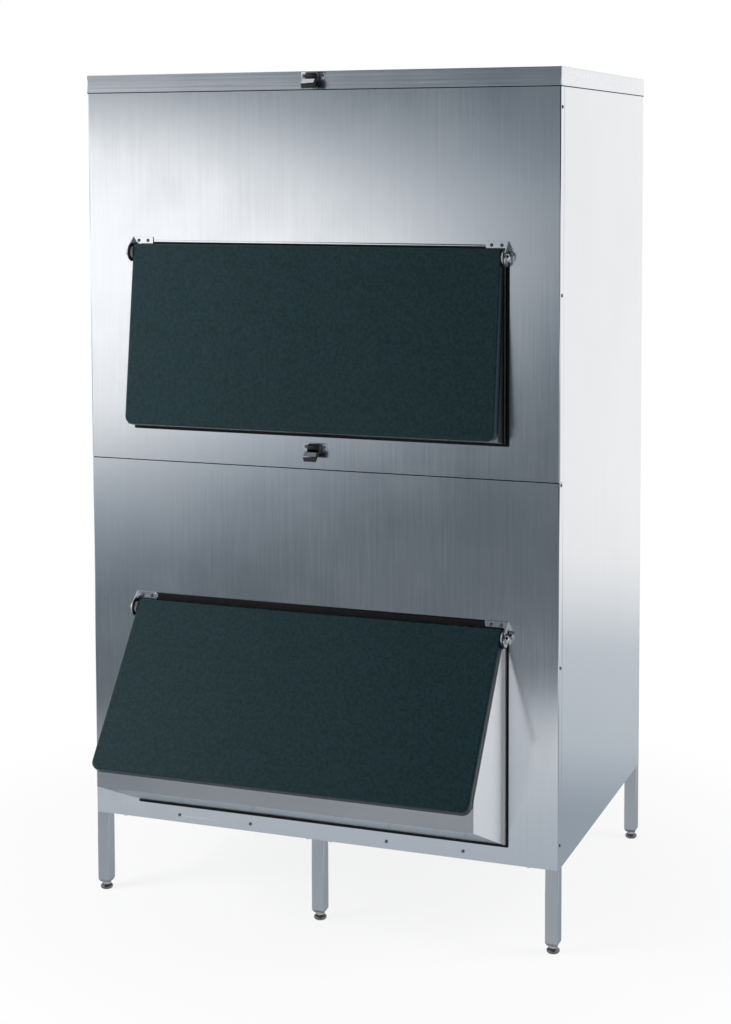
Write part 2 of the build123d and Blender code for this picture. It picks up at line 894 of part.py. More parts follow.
keep_pairs([hinge_bush(bay) for bay in bays], "hinge_bushes")
keep_pairs([ring(bay, spacer_start, spacer_length, spacer_radius) for bay in bays], "hinge_spacers")
keep_pairs(
    [ring(bay, bracket_outer, pin_washer_thickness, pin_washer_radius) for bay in bays],
    "hinge_washers",
)


# Catch: a base plate with a knuckle block, and a hooded hook that turns on a pin
def catch_base(bay):
    knuckle_depth = -bay.catch_face - knuckle_stand_off
    with BuildPart() as base:
        with BuildSketch(front_view(-bay.catch_face)):
            with Locations((0, bay.catch_height)):
                RectangleRounded(catch_plate_width, catch_plate_height, bend_radius)
        extrude(amount=catch_plate_thickness)
        with BuildSketch(side_view):
            with Locations((knuckle_depth, bay.catch_height)):
                Circle(knuckle_radius)
                Rectangle(
                    knuckle_stand_off - catch_plate_thickness,
                    2 * knuckle_radius,
                    align=(Align.MIN, Align.CENTER),
                )
        extrude(amount=knuckle_width / 2, both=True)
        drill([catch_axis(bay)], catch_pin_radius + catch_pin_clearance, catch_plate_width)
        drill(catch_screw_places(bay), screw_radius + screw_fit, 2 * corner_return)
    return base


def catch_axis(bay):
    return place(0, -bay.catch_face - knuckle_stand_off, bay.catch_height, (1, 0, 0))


def hook_outline(bay, inset):
    """Side outline of the hook's hood: flat web, sloping brow, nose and undercut lip."""
    depth = -bay.catch_face
    web_top = bay.catch_height - knuckle_radius - hook_gap - inset
    nose_height = web_top - hook_nose
    lip_height = bay.catch_height - hook_drop
    with BuildLine() as outline:
        FilletPolyline(
            (depth - catch_plate_thickness - hook_gap, web_top),
            (depth - hook_reach + hook_nose + inset, web_top),
            (depth - hook_reach + inset, nose_height),
            (depth - hook_reach + hook_heel + inset, lip_height),
            radius=2 * hook_sheet - inset,
        )
        Polyline(
            (depth - hook_reach + hook_heel + inset, lip_height),
            (depth - knuckle_stand_off - knuckle_radius, web_top - hook_heel),
            (depth - catch_plate_thickness - hook_gap, web_top - hook_heel),
            (depth - catch_plate_thickness - hook_gap, web_top),
        )
    return outline.edges()


def catch_hook(bay):
    inner_half = knuckle_width / 2 + hook_gap
    knuckle_depth = -bay.catch_face - knuckle_stand_off
    with BuildPart() as hook:
        with BuildSketch(side_view):
            make_face(hook_outline(bay, 0))
        extrude(amount=inner_half + hook_sheet, both=True)
        with BuildSketch(side_view):
            make_face(hook_outline(bay, hook_sheet))
        extrude(amount=inner_half, both=True, mode=Mode.SUBTRACT)
        with BuildSketch(side_view.offset(inner_half)) as ear:
            with Locations((knuckle_depth, bay.catch_height)):
                Circle(knuckle_radius - hook_sheet)
            with Locations((knuckle_depth, bay.catch_height - knuckle_radius - hook_gap)):
                Rectangle(2 * knuckle_radius - 2 * hook_sheet, hook_sheet)
            make_hull()
        extrude(amount=hook_sheet)
        extrude(ear.sketch.moved(Location((-2 * inner_half - hook_sheet, 0, 0))), amount=hook_sheet)
        drill([catch_axis(bay)], catch_pin_radius + catch_pin_clearance, catch_plate_width)
    return hook


def catch_pin(bay):
    half_length = knuckle_width / 2 + hook_gap + hook_sheet + catch_pin_end
    with BuildPart() as pin:
        with BuildSketch(side_view):
            with Locations((-bay.catch_face - knuckle_stand_off, bay.catch_height)):
                Circle(catch_pin_radius)
        extrude(amount=half_length, both=True)
    return pin


for bay in bays:
    keep(catch_base(bay), f"{bay.name}_catch_base")
    keep(catch_hook(bay), f"{bay.name}_catch_hook")

with BuildPart() as catch_pins:
    for bay in bays:
        add(catch_pin(bay).part)
keep(catch_pins, "catch_pins")


# Screws and bolts, each group one node
def round_screw(length):
    """Screw with a low round head; its seat is at the origin and its shank goes down."""
    with BuildPart() as screw:
        with BuildSketch(Plane.XY):
            Circle(screw_head_radius)
        extrude(amount=screw_head_height)
        chamfer(edges().group_by(Axis.Z)[-1], screw_head_chamfer)
        with BuildSketch(Plane.XY):
            Circle(screw_radius)
        extrude(amount=-length)
    return screw


def keep_group(piece, places, name):
    with BuildPart() as group:
        with Locations(*places):
            add(piece.part)
    keep(group, name)


keep_group(
    round_screw(2 * casing_sheet),
    corner_screw_places + rail_screw_places + back_screw_places,
    "casing_screws",
)
keep_group(
    round_screw(bracket_thickness + casing_sheet),
    bracket_screw_places(upper) + bracket_screw_places(lower),
    "hinge_screws",
)
keep_group(
    round_screw(catch_plate_thickness + casing_sheet),
    catch_screw_places(upper) + catch_screw_places(lower),
    "catch_screws",
)

with BuildPart() as leg_bolt:
    with BuildSketch(Plane.XY):
        RegularPolygon(bolt_head_across / 2, 6, major_radius=False)
    extrude(amount=-bolt_head_height)
    with BuildSketch(Plane.XY):
        Circle(bolt_radius)
    extrude(amount=leg_plate_thickness + pan_sheet)
with BuildPart() as leg_bolts:
    with Locations(*leg_bolt_places):
        add(leg_bolt.part)
keep(leg_bolts, "leg_bolts")


# Legs: square tube welded under a plate; the tube stands flush with the casing
def leg(side, end):
    """A leg at the left, middle or right (-1, 0, 1) of the front or back (-1, 1)."""
    with BuildPart() as piece:
        with BuildSketch(plan_view(leg_bottom)):
            with Locations(leg_centre(side, end)):
                Rectangle(leg_size, leg_size)
                fillet(vertices(), leg_wall)
        extrude(amount=cabinet_bottom - leg_bottom)
        with BuildSketch(plan_view(leg_bottom)):
            with Locations(leg_centre(side, end)):
                Rectangle(leg_size - 2 * leg_wall, leg_size - 2 * leg_wall)
        extrude(amount=cabinet_bottom - leg_bottom, mode=Mode.SUBTRACT)
        with BuildSketch(plan_view(cabinet_bottom)):
            with Locations(plate_centre(side, end)):
                Rectangle(leg_plate_width, leg_plate_width)
        extrude(amount=leg_plate_thickness)
        drill(leg_bolt_places, bolt_radius + screw_fit, 2 * leg_plate_width)
    return piece


def leg_group(sides, name):
    with BuildPart() as group:
        for side in sides:
            for end in (-1, 1):
                add(leg(side, end).part)
    keep(group, name)


leg_group((-1, 1), "corner_legs")
leg_group((0,), "middle_legs")

# Tapered plastic plugs in the ends of the legs
with BuildPart() as leg_plug:
    with BuildSketch(Plane.XY):
        Rectangle(leg_size, leg_size)
        fillet(vertices(), leg_wall)
    with BuildSketch(Plane.XY.offset(-plug_taper_height)):
        Rectangle(plug_taper_size, plug_taper_size)
        fillet(vertices(), leg_wall)
    loft()
    with BuildSketch(Plane.XY):
        Rectangle(leg_size - 2 * leg_wall, leg_size - 2 * leg_wall)
        Circle(foot_stem_radius + pin_running_clearance, mode=Mode.SUBTRACT)
    extrude(amount=plug_insert_length)
    Cylinder(foot_stem_radius + pin_running_clearance, 2 * plug_insert_length, mode=Mode.SUBTRACT)
keep_group(
    leg_plug,
    [place(*leg_centre(side, end), leg_bottom, (0, 0, 1)) for side, end in leg_spots],
    "leg_plugs",
)

# Adjustable foot: moulded pad, hexagon and threaded stem
with BuildPart() as foot:
    with BuildSketch(Plane.XZ):
        with BuildLine():
            Polyline(
                (0, 0),
                (foot_base_radius, 0),
                (foot_pad_radius, foot_rim_low),
                (foot_pad_radius, foot_rim_high),
                (foot_hex_across / 2, foot_pad_height),
                (0, foot_pad_height),
                close=True,
            )
        make_face()
    revolve(axis=Axis.Z)
    with BuildSketch(Plane.XY.offset(foot_pad_height)):
        RegularPolygon(foot_hex_across / 2, 6, major_radius=False)
    extrude(amount=foot_hex_height)
    with BuildSketch(Plane.XY.offset(foot_pad_height + foot_hex_height)):
        Circle(foot_stem_radius)
    extrude(amount=foot_stem_length)
    chamfer(edges().group_by(Axis.Z)[-1], foot_stem_radius / 6)

side_names = {-1: "left", 0: "middle", 1: "right"}
end_names = {-1: "front", 1: "rear"}
for side, end in leg_spots:
    with BuildPart() as placed_foot:
        with Locations(place(*leg_centre(side, end), 0, (0, 0, 1))):
            add(foot.part)
    keep(placed_foot, f"foot_{end_names[end]}_{side_names[side]}")
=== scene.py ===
# %% [markdown]
# # The ice storage bin
#
# A stainless cabinet on six legs, with two swing-up doors of dark pebbled plastic over open steel
# hoppers. The construction arrives as a fixed frame: every piece at its real size, in metres, with
# its place in its own mesh. This lesson dresses that frame. Folded sheet keeps its shape and only
# gets softer edges and a finish. Moulded, turned and small bright pieces are modelled again, because
# their soft edges are what catches the light.

# %% Load the frame
import json
import math

import bmesh
import bpy
from mathutils import Matrix, Vector


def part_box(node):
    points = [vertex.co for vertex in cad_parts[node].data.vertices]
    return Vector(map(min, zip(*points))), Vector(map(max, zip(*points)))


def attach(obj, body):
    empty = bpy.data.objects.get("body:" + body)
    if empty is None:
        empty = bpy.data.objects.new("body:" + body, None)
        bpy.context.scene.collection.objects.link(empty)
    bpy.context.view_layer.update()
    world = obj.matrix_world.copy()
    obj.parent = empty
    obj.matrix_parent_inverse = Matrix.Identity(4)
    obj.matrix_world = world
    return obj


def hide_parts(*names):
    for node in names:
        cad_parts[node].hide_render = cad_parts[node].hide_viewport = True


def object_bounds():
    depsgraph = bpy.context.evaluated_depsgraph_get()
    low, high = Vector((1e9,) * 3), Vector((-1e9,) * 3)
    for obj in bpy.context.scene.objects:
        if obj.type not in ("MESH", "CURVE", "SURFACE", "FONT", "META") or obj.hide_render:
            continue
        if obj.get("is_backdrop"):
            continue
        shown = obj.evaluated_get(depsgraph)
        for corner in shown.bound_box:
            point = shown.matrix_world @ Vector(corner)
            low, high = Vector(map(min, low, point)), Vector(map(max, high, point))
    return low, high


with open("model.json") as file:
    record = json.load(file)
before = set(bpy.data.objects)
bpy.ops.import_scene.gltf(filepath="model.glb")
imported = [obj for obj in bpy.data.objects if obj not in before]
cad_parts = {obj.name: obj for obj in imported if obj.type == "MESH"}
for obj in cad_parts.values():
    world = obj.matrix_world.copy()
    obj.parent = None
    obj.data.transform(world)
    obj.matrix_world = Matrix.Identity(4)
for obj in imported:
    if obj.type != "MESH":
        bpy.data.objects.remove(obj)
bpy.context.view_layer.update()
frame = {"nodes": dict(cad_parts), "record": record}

mm = 0.001
nodes = frame["nodes"]

# %% [markdown]
# ## The camera
#
# The picture was taken a little to the right of the bin, near the height of its top, with a lens
# that was shifted down so that upright edges stay upright. A camera in Blender can shift its film in
# the same way. The whole shift would push the bin out of the frame when the camera walks round it, so
# here half of it is replaced by a tilt of four degrees. The place, the angles and the focal length
# come from fitting the cabinet's corners, in pixels of the 731 by 1024 frame, with that tilt.

# %% Camera
frame_height = 1024
focal_pixels = 1933.0
film_shift = -0.21
camera_place = Vector((1.8909, -4.9753, 2.0326))
camera_yaw = math.radians(20.575)
camera_pitch = math.radians(4.13)
camera_roll = math.radians(-0.183)
sensor = 36

camera_data = bpy.data.cameras.new("camera")
camera_data.sensor_fit = "AUTO"
camera_data.sensor_width = sensor
camera_data.lens = focal_pixels * sensor / frame_height
camera_data.shift_y = film_shift
camera = bpy.data.objects.new("camera", camera_data)
bpy.context.scene.collection.objects.link(camera)
camera.matrix_world = (
    Matrix.Translation(camera_place)
    @ Matrix.Rotation(camera_yaw, 4, "Z")
    @ Matrix.Rotation(math.radians(90) - camera_pitch, 4, "X")
    @ Matrix.Rotation(camera_roll, 4, "Z")
)
bpy.context.scene.camera = camera
print("lens", round(camera_data.lens, 2), "shift", film_shift)

# %% [markdown]
# ## Small helpers for finishes
#
# Every finish is a node tree. A few helpers keep the trees short to read: they start a material, add
# a node with its settings, carry a value from one range into another, and make noise and bumps.

# %% Helpers for node trees
def start_material(name):
    """A new material with its Principled shader."""
    material = bpy.data.materials.new(name)
    material.use_nodes = True
    return material, material.node_tree.nodes["Principled BSDF"]


def add_node(owner, kind, **settings):
    """Add a node; settings are properties, and inputs by name or number in a dict."""
    node = owner.node_tree.nodes.new(kind)
    for name, value in settings.items():
        if name == "inputs":
            for socket, given in value.items():
                node.inputs[socket].default_value = given
        else:
            setattr(node, name, value)
    return node


def link(owner, source, target):
    owner.node_tree.links.new(source, target)


def spread(owner, value, low, high, from_low=0.0, from_high=1.0):
    """Carry a value from one range into another, smoothly."""
    node = add_node(
        owner, "ShaderNodeMapRange", interpolation_type="SMOOTHSTEP",
        inputs={"From Min": from_low, "From Max": from_high, "To Min": low, "To Max": high},
    )
    link(owner, value, node.inputs["Value"])
    return node.outputs["Result"]


# most of a noise lies in this part of its range
noise_low, noise_high = 0.3, 0.7


def pattern(owner, scale, detail=2.0, stretch=(1, 1, 1), roughness=0.5):
    """Noise on the piece's own coordinates; scale counts cells in a metre."""
    place = add_node(owner, "ShaderNodeTexCoord")
    mapping = add_node(owner, "ShaderNodeMapping", inputs={"Scale": stretch})
    noise = add_node(
        owner, "ShaderNodeTexNoise",
        inputs={"Scale": scale, "Detail": detail, "Roughness": roughness},
    )
    link(owner, place.outputs["Object"], mapping.inputs["Vector"])
    link(owner, mapping.outputs["Vector"], noise.inputs["Vector"])
    return noise.outputs["Fac"]


def calc(owner, operation, *values):
    """One Math node; each value is a socket or a plain number."""
    node = add_node(owner, "ShaderNodeMath", operation=operation)
    for socket, value in zip(node.inputs, values):
        if isinstance(value, bpy.types.NodeSocket):
            link(owner, value, socket)
        else:
            socket.default_value = value
    return node.outputs[0]


def curve(owner, value, stops, peak=1.0):
    """A value read off a line through stops, pairs of where and how much, up to the peak."""
    first, last = stops[0][0], stops[-1][0]
    ramp = add_node(owner, "ShaderNodeValToRGB")
    ramp.color_ramp.interpolation = "LINEAR"
    elements = ramp.color_ramp.elements
    while len(elements) < len(stops):
        elements.new(0.5)
    for element, (where, amount) in zip(elements, stops):
        element.position = (where - first) / (last - first)
        element.color = (amount / peak, amount / peak, amount / peak, 1)
    along = calc(owner, "DIVIDE", calc(owner, "SUBTRACT", value, first), last - first)
    link(owner, along, ramp.inputs["Fac"])
    return calc(owner, "MULTIPLY", ramp.outputs["Color"], peak)


def mix_colours(owner, factor, first, second):
    """Two colours mixed; a Mix node takes colours at inputs 6 and 7, and gives one at output 2."""
    node = add_node(owner, "ShaderNodeMix", data_type="RGBA")
    node.inputs[6].default_value = (*first, 1)
    node.inputs[7].default_value = (*second, 1)
    link(owner, factor, node.inputs[0])
    return node.outputs[2]


def bump(owner, height, distance, strength=1.0, before=None):
    """Turn a pattern into small hills; a second bump can stand on the first."""
    node = add_node(
        owner, "ShaderNodeBump", inputs={"Distance": distance, "Strength": strength}
    )
    link(owner, height, node.inputs["Height"])
    if before:
        link(owner, before, node.inputs["Normal"])
    return node.outputs["Normal"]


# %% [markdown]
# ## Brushed stainless steel
#
# The casing is satin stainless sheet, brushed up and down. Brushing leaves thousands of fine
# scratches side by side. They blur a reflection across the grain far more than along it. It could be
# done with an anisotropic shader alone, but the fine streaks would be missing close up, so stretched
# noise makes them: it varies the tone a little, the roughness more, and leaves a very low bump.
# A much larger, softer noise stands for the smears that every steel front has.

# %% Brushed steel
scratch_cells, band_cells, smear_cells = 900, 190, 3.5
darkest_scratch = 0.95
scratch_height, scratch_strength = 0.02 * mm, 0.2
glossier, rougher = 0.02, 0.03
blur_across_grain = 0.6


def brushed_steel(name, colour, roughness, grain, smear=0.02, bands=0.012, metallic=1):
    """Satin steel; grain is the stretch of the noise, small along the scratches."""
    steel, shader = start_material(name)
    fine = pattern(steel, scratch_cells, detail=3, stretch=grain, roughness=0.7)
    broad = pattern(steel, smear_cells, detail=3, roughness=0.6)
    band = pattern(steel, band_cells, detail=3, stretch=grain, roughness=0.6)
    darker = tuple(channel * darkest_scratch for channel in colour)
    tone = mix_colours(steel, fine, darker, colour)
    level = spread(steel, band, 1 - bands, 1 + bands, noise_low, noise_high)
    scaled = add_node(steel, "ShaderNodeVectorMath", operation="SCALE")
    link(steel, tone, scaled.inputs[0])
    link(steel, level, scaled.inputs["Scale"])
    link(steel, scaled.outputs[0], shader.inputs["Base Color"])
    scratched = spread(steel, fine, roughness - glossier, roughness + rougher, noise_low, noise_high)
    smeared = spread(steel, broad, -smear, smear, noise_low, noise_high)
    link(steel, calc(steel, "ADD", scratched, smeared), shader.inputs["Roughness"])
    link(steel, bump(steel, fine, scratch_height, scratch_strength), shader.inputs["Normal"])
    shader.inputs["Metallic"].default_value = metallic
    shader.inputs["Anisotropic"].default_value = blur_across_grain
    return steel


# %% Steel finishes
upright_grain = (1, 1, 0.006)
cross_grain = (0.006, 1, 1)
casing_steel = brushed_steel("casing_steel", (0.60, 0.63, 0.665), 0.13, upright_grain)
cover_steel = brushed_steel("cover_steel", (0.62, 0.65, 0.69), 0.15, cross_grain, bands=0.07)
hopper_steel = brushed_steel("hopper_steel", (0.38, 0.392, 0.41), 0.18, cross_grain)

# painted light on the lower cheeks: a near white steel, less of a mirror, that the lamps light
painted_light_cheek_steel = brushed_steel("painted_light_cheek_steel", (0.88, 0.9, 0.93), 0.2, cross_grain, metallic=0.3)
# painted shade on the upper cheeks: a near black steel
painted_shade_steel = brushed_steel("painted_shade_steel", (0.12, 0.125, 0.13), 0.22, cross_grain)
leg_steel = brushed_steel("leg_steel", (0.52, 0.54, 0.57), 0.32, upright_grain, smear=0.03)
bracket_steel = brushed_steel("bracket_steel", (0.64, 0.66, 0.69), 0.14, cross_grain)
catch_steel = brushed_steel("catch_steel", (0.66, 0.67, 0.69), 0.16, cross_grain)
print("steels", [m.name for m in bpy.data.materials])

# %% [markdown]
# ## Galvanised steel
#
# The pan under the cabinet is zinc coated. Hot zinc freezes in flat crystals, each a slightly
# different grey. A Voronoi texture with one random shade to a cell is just that pattern.

# %% Galvanised steel
crystal_cells = 70
dull_zinc, bright_zinc = (0.42, 0.44, 0.46), (0.56, 0.58, 0.60)
smoothest_zinc, roughest_zinc = 0.35, 0.5
zinc_steel, shader = start_material("zinc_steel")
place = add_node(zinc_steel, "ShaderNodeTexCoord")
crystals = add_node(zinc_steel, "ShaderNodeTexVoronoi", inputs={"Scale": crystal_cells})
link(zinc_steel, place.outputs["Object"], crystals.inputs["Vector"])
shade = add_node(zinc_steel, "ShaderNodeSeparateColor")
link(zinc_steel, crystals.outputs["Color"], shade.inputs["Color"])
zinc_tone = mix_colours(zinc_steel, shade.outputs[0], dull_zinc, bright_zinc)
link(zinc_steel, zinc_tone, shader.inputs["Base Color"])
zinc_gloss = spread(zinc_steel, shade.outputs[1], smoothest_zinc, roughest_zinc)
link(zinc_steel, zinc_gloss, shader.inputs["Roughness"])
shader.inputs["Metallic"].default_value = 1
print("zinc crystals in a metre", crystal_cells)

# %% [markdown]
# ## Plastics and rubber
#
# The doors are moulded in a dark teal plastic with a pebbled skin, so that fingers don't show. The
# pebbles are a Voronoi pattern under a bump of half a millimetre at half strength, and a noise makes
# the tone mottled, as it is on the real skin. The other plastics are simpler: a mottled tone and a
# grain of their own, for smooth nylon, matt rubber and open-celled foam.

# %% Door plastic
pebble_cells, pebble_melt, mottle_cells = 330, 0.6, 120
pebble_height, pebble_strength = 0.5 * mm, 0.5
ripple_height, ripple_strength = 0.6 * mm, 0.4
mottle_low, mottle_high = 0.32, 0.68
darkest_mottle, lightest_mottle = 0.72, 1.35


def pebbled(name, colour, roughness):
    """Leather-like pebbles, about three millimetres across, on a slightly uneven skin."""
    plastic, shader = start_material(name)
    place = add_node(plastic, "ShaderNodeTexCoord")
    pebbles = add_node(
        plastic, "ShaderNodeTexVoronoi", feature="SMOOTH_F1",
        inputs={"Scale": pebble_cells, "Smoothness": pebble_melt},
    )
    link(plastic, place.outputs["Object"], pebbles.inputs["Vector"])
    tone = pattern(plastic, mottle_cells, detail=5, roughness=0.65)
    steps = spread(plastic, tone, 0, 1, mottle_low, mottle_high)
    dark = tuple(channel * darkest_mottle for channel in colour)
    light = tuple(channel * lightest_mottle for channel in colour)
    link(plastic, mix_colours(plastic, steps, dark, light), shader.inputs["Base Color"])
    gloss = spread(plastic, tone, roughness - 0.05, roughness + 0.07)
    link(plastic, gloss, shader.inputs["Roughness"])
    low = bump(plastic, tone, ripple_height, ripple_strength)
    hills = bump(plastic, pebbles.outputs["Distance"], pebble_height, pebble_strength, low)
    link(plastic, hills, shader.inputs["Normal"])
    shader.inputs["Specular IOR Level"].default_value = 0.3
    return plastic


door_plastic = pebbled("door_plastic", (0.0062, 0.0215, 0.0262), 0.3)
print("door pebbles in a metre", pebble_cells)

# %% Other plastics
grain_strength = 0.6


def moulded(name, colour, roughness, mottle, blotches, grain, height, specular=0.5):
    """Plastic with a mottled tone and a grain; blotches and grain count cells in a metre."""
    plastic, shader = start_material(name)
    tone = pattern(plastic, blotches, detail=4, roughness=0.6)
    dark = tuple(channel * (1 - mottle) for channel in colour)
    light = tuple(channel * (1 + mottle) for channel in colour)
    steps = spread(plastic, tone, 0, 1, noise_low, noise_high)
    link(plastic, mix_colours(plastic, steps, dark, light), shader.inputs["Base Color"])
    gloss = spread(plastic, tone, roughness - 0.04, roughness + 0.06)
    link(plastic, gloss, shader.inputs["Roughness"])
    hills = pattern(plastic, grain, detail=2, roughness=0.5)
    link(plastic, bump(plastic, hills, height, grain_strength), shader.inputs["Normal"])
    shader.inputs["Specular IOR Level"].default_value = specular
    return plastic


lining_plastic = moulded(
    "lining_plastic", (0.72, 0.73, 0.73), roughness=0.38, mottle=0.03,
    blotches=6, grain=900, height=0.05 * mm,
)
plug_nylon = moulded(
    "plug_nylon", (0.27, 0.28, 0.295), roughness=0.42, mottle=0.06,
    blotches=90, grain=1800, height=0.05 * mm,
)
drain_plastic = moulded(
    "drain_plastic", (0.66, 0.66, 0.64), roughness=0.35, mottle=0.04,
    blotches=40, grain=1200, height=0.05 * mm,
)
edging_rubber = moulded(
    "edging_rubber", (0.01, 0.01, 0.011), roughness=0.6, mottle=0.2,
    blotches=60, grain=1500, height=0.08 * mm, specular=0.15,
)
black_nylon = moulded(
    "black_nylon", (0.016, 0.016, 0.017), roughness=0.4, mottle=0.15,
    blotches=90, grain=1800, height=0.06 * mm,
)
grey_nylon = moulded(
    "grey_nylon", (0.44, 0.45, 0.46), roughness=0.3, mottle=0.06,
    blotches=90, grain=1800, height=0.05 * mm,
)
foam = moulded(
    "foam", (0.72, 0.62, 0.38), roughness=0.85, mottle=0.1,
    blotches=25, grain=420, height=0.8 * mm, specular=0.2,
)
catch_black = moulded(
    "catch_black", (0.011, 0.011, 0.012), roughness=0.3, mottle=0.15,
    blotches=90, grain=1600, height=0.04 * mm,
)
print("materials", len(bpy.data.materials))

# %% [markdown]
# ## Polished and darkened fasteners
#
# Pins, washers and screws are turned from steel. Turning leaves fine rings, but on pieces this small
# a slight unevenness in tone and gloss says enough. Every one is a metal. The hinge screws are
# darkened steel; the other screws' darker colour is painted shade, the dark that they mirror against
# the bright sheet, and the feet have a darker colour too.

# %% Turned metals
wear_cells, most_worn = 260, 0.78
wear_height, wear_strength = 0.03 * mm, 0.4


def turned_metal(name, colour, roughness):
    metal, shader = start_material(name)
    wear = pattern(metal, wear_cells, detail=4, roughness=0.7)
    worn = tuple(channel * most_worn for channel in colour)
    link(metal, mix_colours(metal, wear, worn, colour), shader.inputs["Base Color"])
    gloss = spread(metal, wear, roughness - 0.04, roughness + 0.1, noise_low, noise_high)
    link(metal, gloss, shader.inputs["Roughness"])
    link(metal, bump(metal, wear, wear_height, wear_strength), shader.inputs["Normal"])
    shader.inputs["Metallic"].default_value = 1
    return metal


polished_steel = turned_metal("polished_steel", (0.68, 0.69, 0.71), 0.14)
black_steel = turned_metal("black_steel", (0.16, 0.16, 0.165), 0.24)
# painted shade: the casing and catch screws are darker than polished steel
painted_shade_screw_steel = turned_metal("painted_shade_screw_steel", (0.2, 0.205, 0.21), 0.28)
foot_steel = turned_metal("foot_steel", (0.24, 0.245, 0.255), 0.36)
nut_steel = turned_metal("nut_steel", (0.62, 0.63, 0.65), 0.3)
print("materials", len(bpy.data.materials))

# %% [markdown]
# ## Which finish goes where
#
# The record names a slot for each node: the kind of finish that the maker asked for. The table below
# pairs each slot with a material, so a piece that is modelled later only has to say its slot.

# %% Finishes by slot
finish_of_slot = {
    "stainless_casing": casing_steel,
    "stainless_hopper": hopper_steel,
    "galvanised_base": zinc_steel,
    "foam": foam,
    "liner_plastic": lining_plastic,
    "drain_plastic": drain_plastic,
    "black_rubber": edging_rubber,
    "door_plastic": door_plastic,
    "bracket_steel": bracket_steel,
    "black_nylon": black_nylon,
    "grey_nylon": grey_nylon,
    "polished_steel": polished_steel,
    "black_steel": black_steel,
    "catch_black": catch_black,
    "catch_steel": catch_steel,
    "leg_steel": leg_steel,
}
slot_of_node = {row["node"]: row["material_slot"] for row in frame["record"]["subparts"]}


def give_finish(piece, material):
    piece.data.materials.clear()
    piece.data.materials.append(material)


for name, piece in nodes.items():
    give_finish(piece, finish_of_slot[slot_of_node[name]])
give_finish(nodes["top_cover"], cover_steel)
print("slots", len(finish_of_slot))

# %% [markdown]
# ## Small helpers for meshes
#
# The frame's pieces are exact but sharp. Real sheet, castings and mouldings have a soft edge that
# catches a line of light. Every new piece ends in the same way, so one helper closes it: doubles are
# merged, narrow faces are shaded smooth and wide ones flat, and the piece takes the place of its
# node, rides where the node rides and asks for the node's slot, unless it is given another one.

# %% Helpers for meshes
body_of_node = {
    node: body for body, held in frame["record"]["behaviour"]["bodies"].items() for node in held
}
weld = 0.001 * mm
narrow_face = 4 * mm
crease = math.radians(40)
nearly_flat = math.radians(1)


def finish_piece(mesh, name, node, finishes=None, turn_out=True, stands_for=True):
    """Close a mesh into a piece with the place, the body and the slot of a node."""
    bmesh.ops.remove_doubles(mesh, verts=mesh.verts, dist=weld)
    if turn_out:
        bmesh.ops.recalc_face_normals(mesh, faces=mesh.faces)
    for face in mesh.faces:
        longest = max(edge.calc_length() for edge in face.edges)
        face.smooth = face.calc_area() / longest < narrow_face
    for edge in mesh.edges:
        edge.smooth = edge.calc_face_angle(0) < crease
    data = bpy.data.meshes.new(name)
    mesh.to_mesh(data)
    mesh.free()
    piece = bpy.data.objects.new(name, data)
    bpy.context.scene.collection.objects.link(piece)
    for finish in finishes or (finish_of_slot[slot_of_node[node]],):
        data.materials.append(finish)
    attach(piece, body_of_node[node])
    if stands_for:
        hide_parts(node)
    print(name, "faces", len(data.polygons))
    return piece


def merged_copy(node):
    """A node's mesh with its loose triangles joined and its flat faces whole."""
    mesh = bmesh.new()
    mesh.from_mesh(nodes[node].data)
    bmesh.ops.remove_doubles(mesh, verts=mesh.verts, dist=weld)
    bmesh.ops.dissolve_limit(mesh, angle_limit=nearly_flat, verts=mesh.verts, edges=mesh.edges)
    return mesh


def sharp_edges(mesh, angle=35):
    return [
        edge for edge in mesh.edges
        if edge.is_manifold and edge.calc_face_angle() > math.radians(angle)
    ]


def round_edges(mesh, edges, width, segments=2):
    """Bevel edges to a round; width is in millimetres."""
    bmesh.ops.bevel(
        mesh, geom=edges, offset=width * mm, offset_type="OFFSET", affect="EDGES",
        segments=segments, profile=0.5, material=-1, clamp_overlap=True,
    )


def soften(node, width, segments=2, finishes=None):
    """A copy of a node with its sharp edges rounded."""
    mesh = merged_copy(node)
    round_edges(mesh, sharp_edges(mesh), width, segments)
    return finish_piece(mesh, node + "_softened", node, finishes, turn_out=False)


def lathe(mesh, outline, centre, axis, steps=32):
    """Spin half an outline, (radius, along) in millimetres, round an axis."""
    side = axis.orthogonal().normalized()
    points = [
        mesh.verts.new(centre + (side * radius + axis * along) * mm) for radius, along in outline
    ]
    edges = [mesh.edges.new(pair) for pair in zip(points, points[1:])]
    bmesh.ops.spin(
        mesh, geom=[*points, *edges], cent=centre, axis=axis, dvec=(0, 0, 0),
        angle=math.tau, steps=steps, use_merge=True, use_duplicate=False,
    )


# %% [markdown]
# ## Folded and moulded pieces with soft edges
#
# A folded panel needs no new shape, only its sheared edges taken off, so it is a copy of the frame's
# piece with a small bevel: a third of a millimetre on thin sheet, more on brackets, bushes and the
# liner. A Bevel modifier would do the same on the object, but the frame's meshes are loose triangles,
# which a modifier can't round before they are merged.

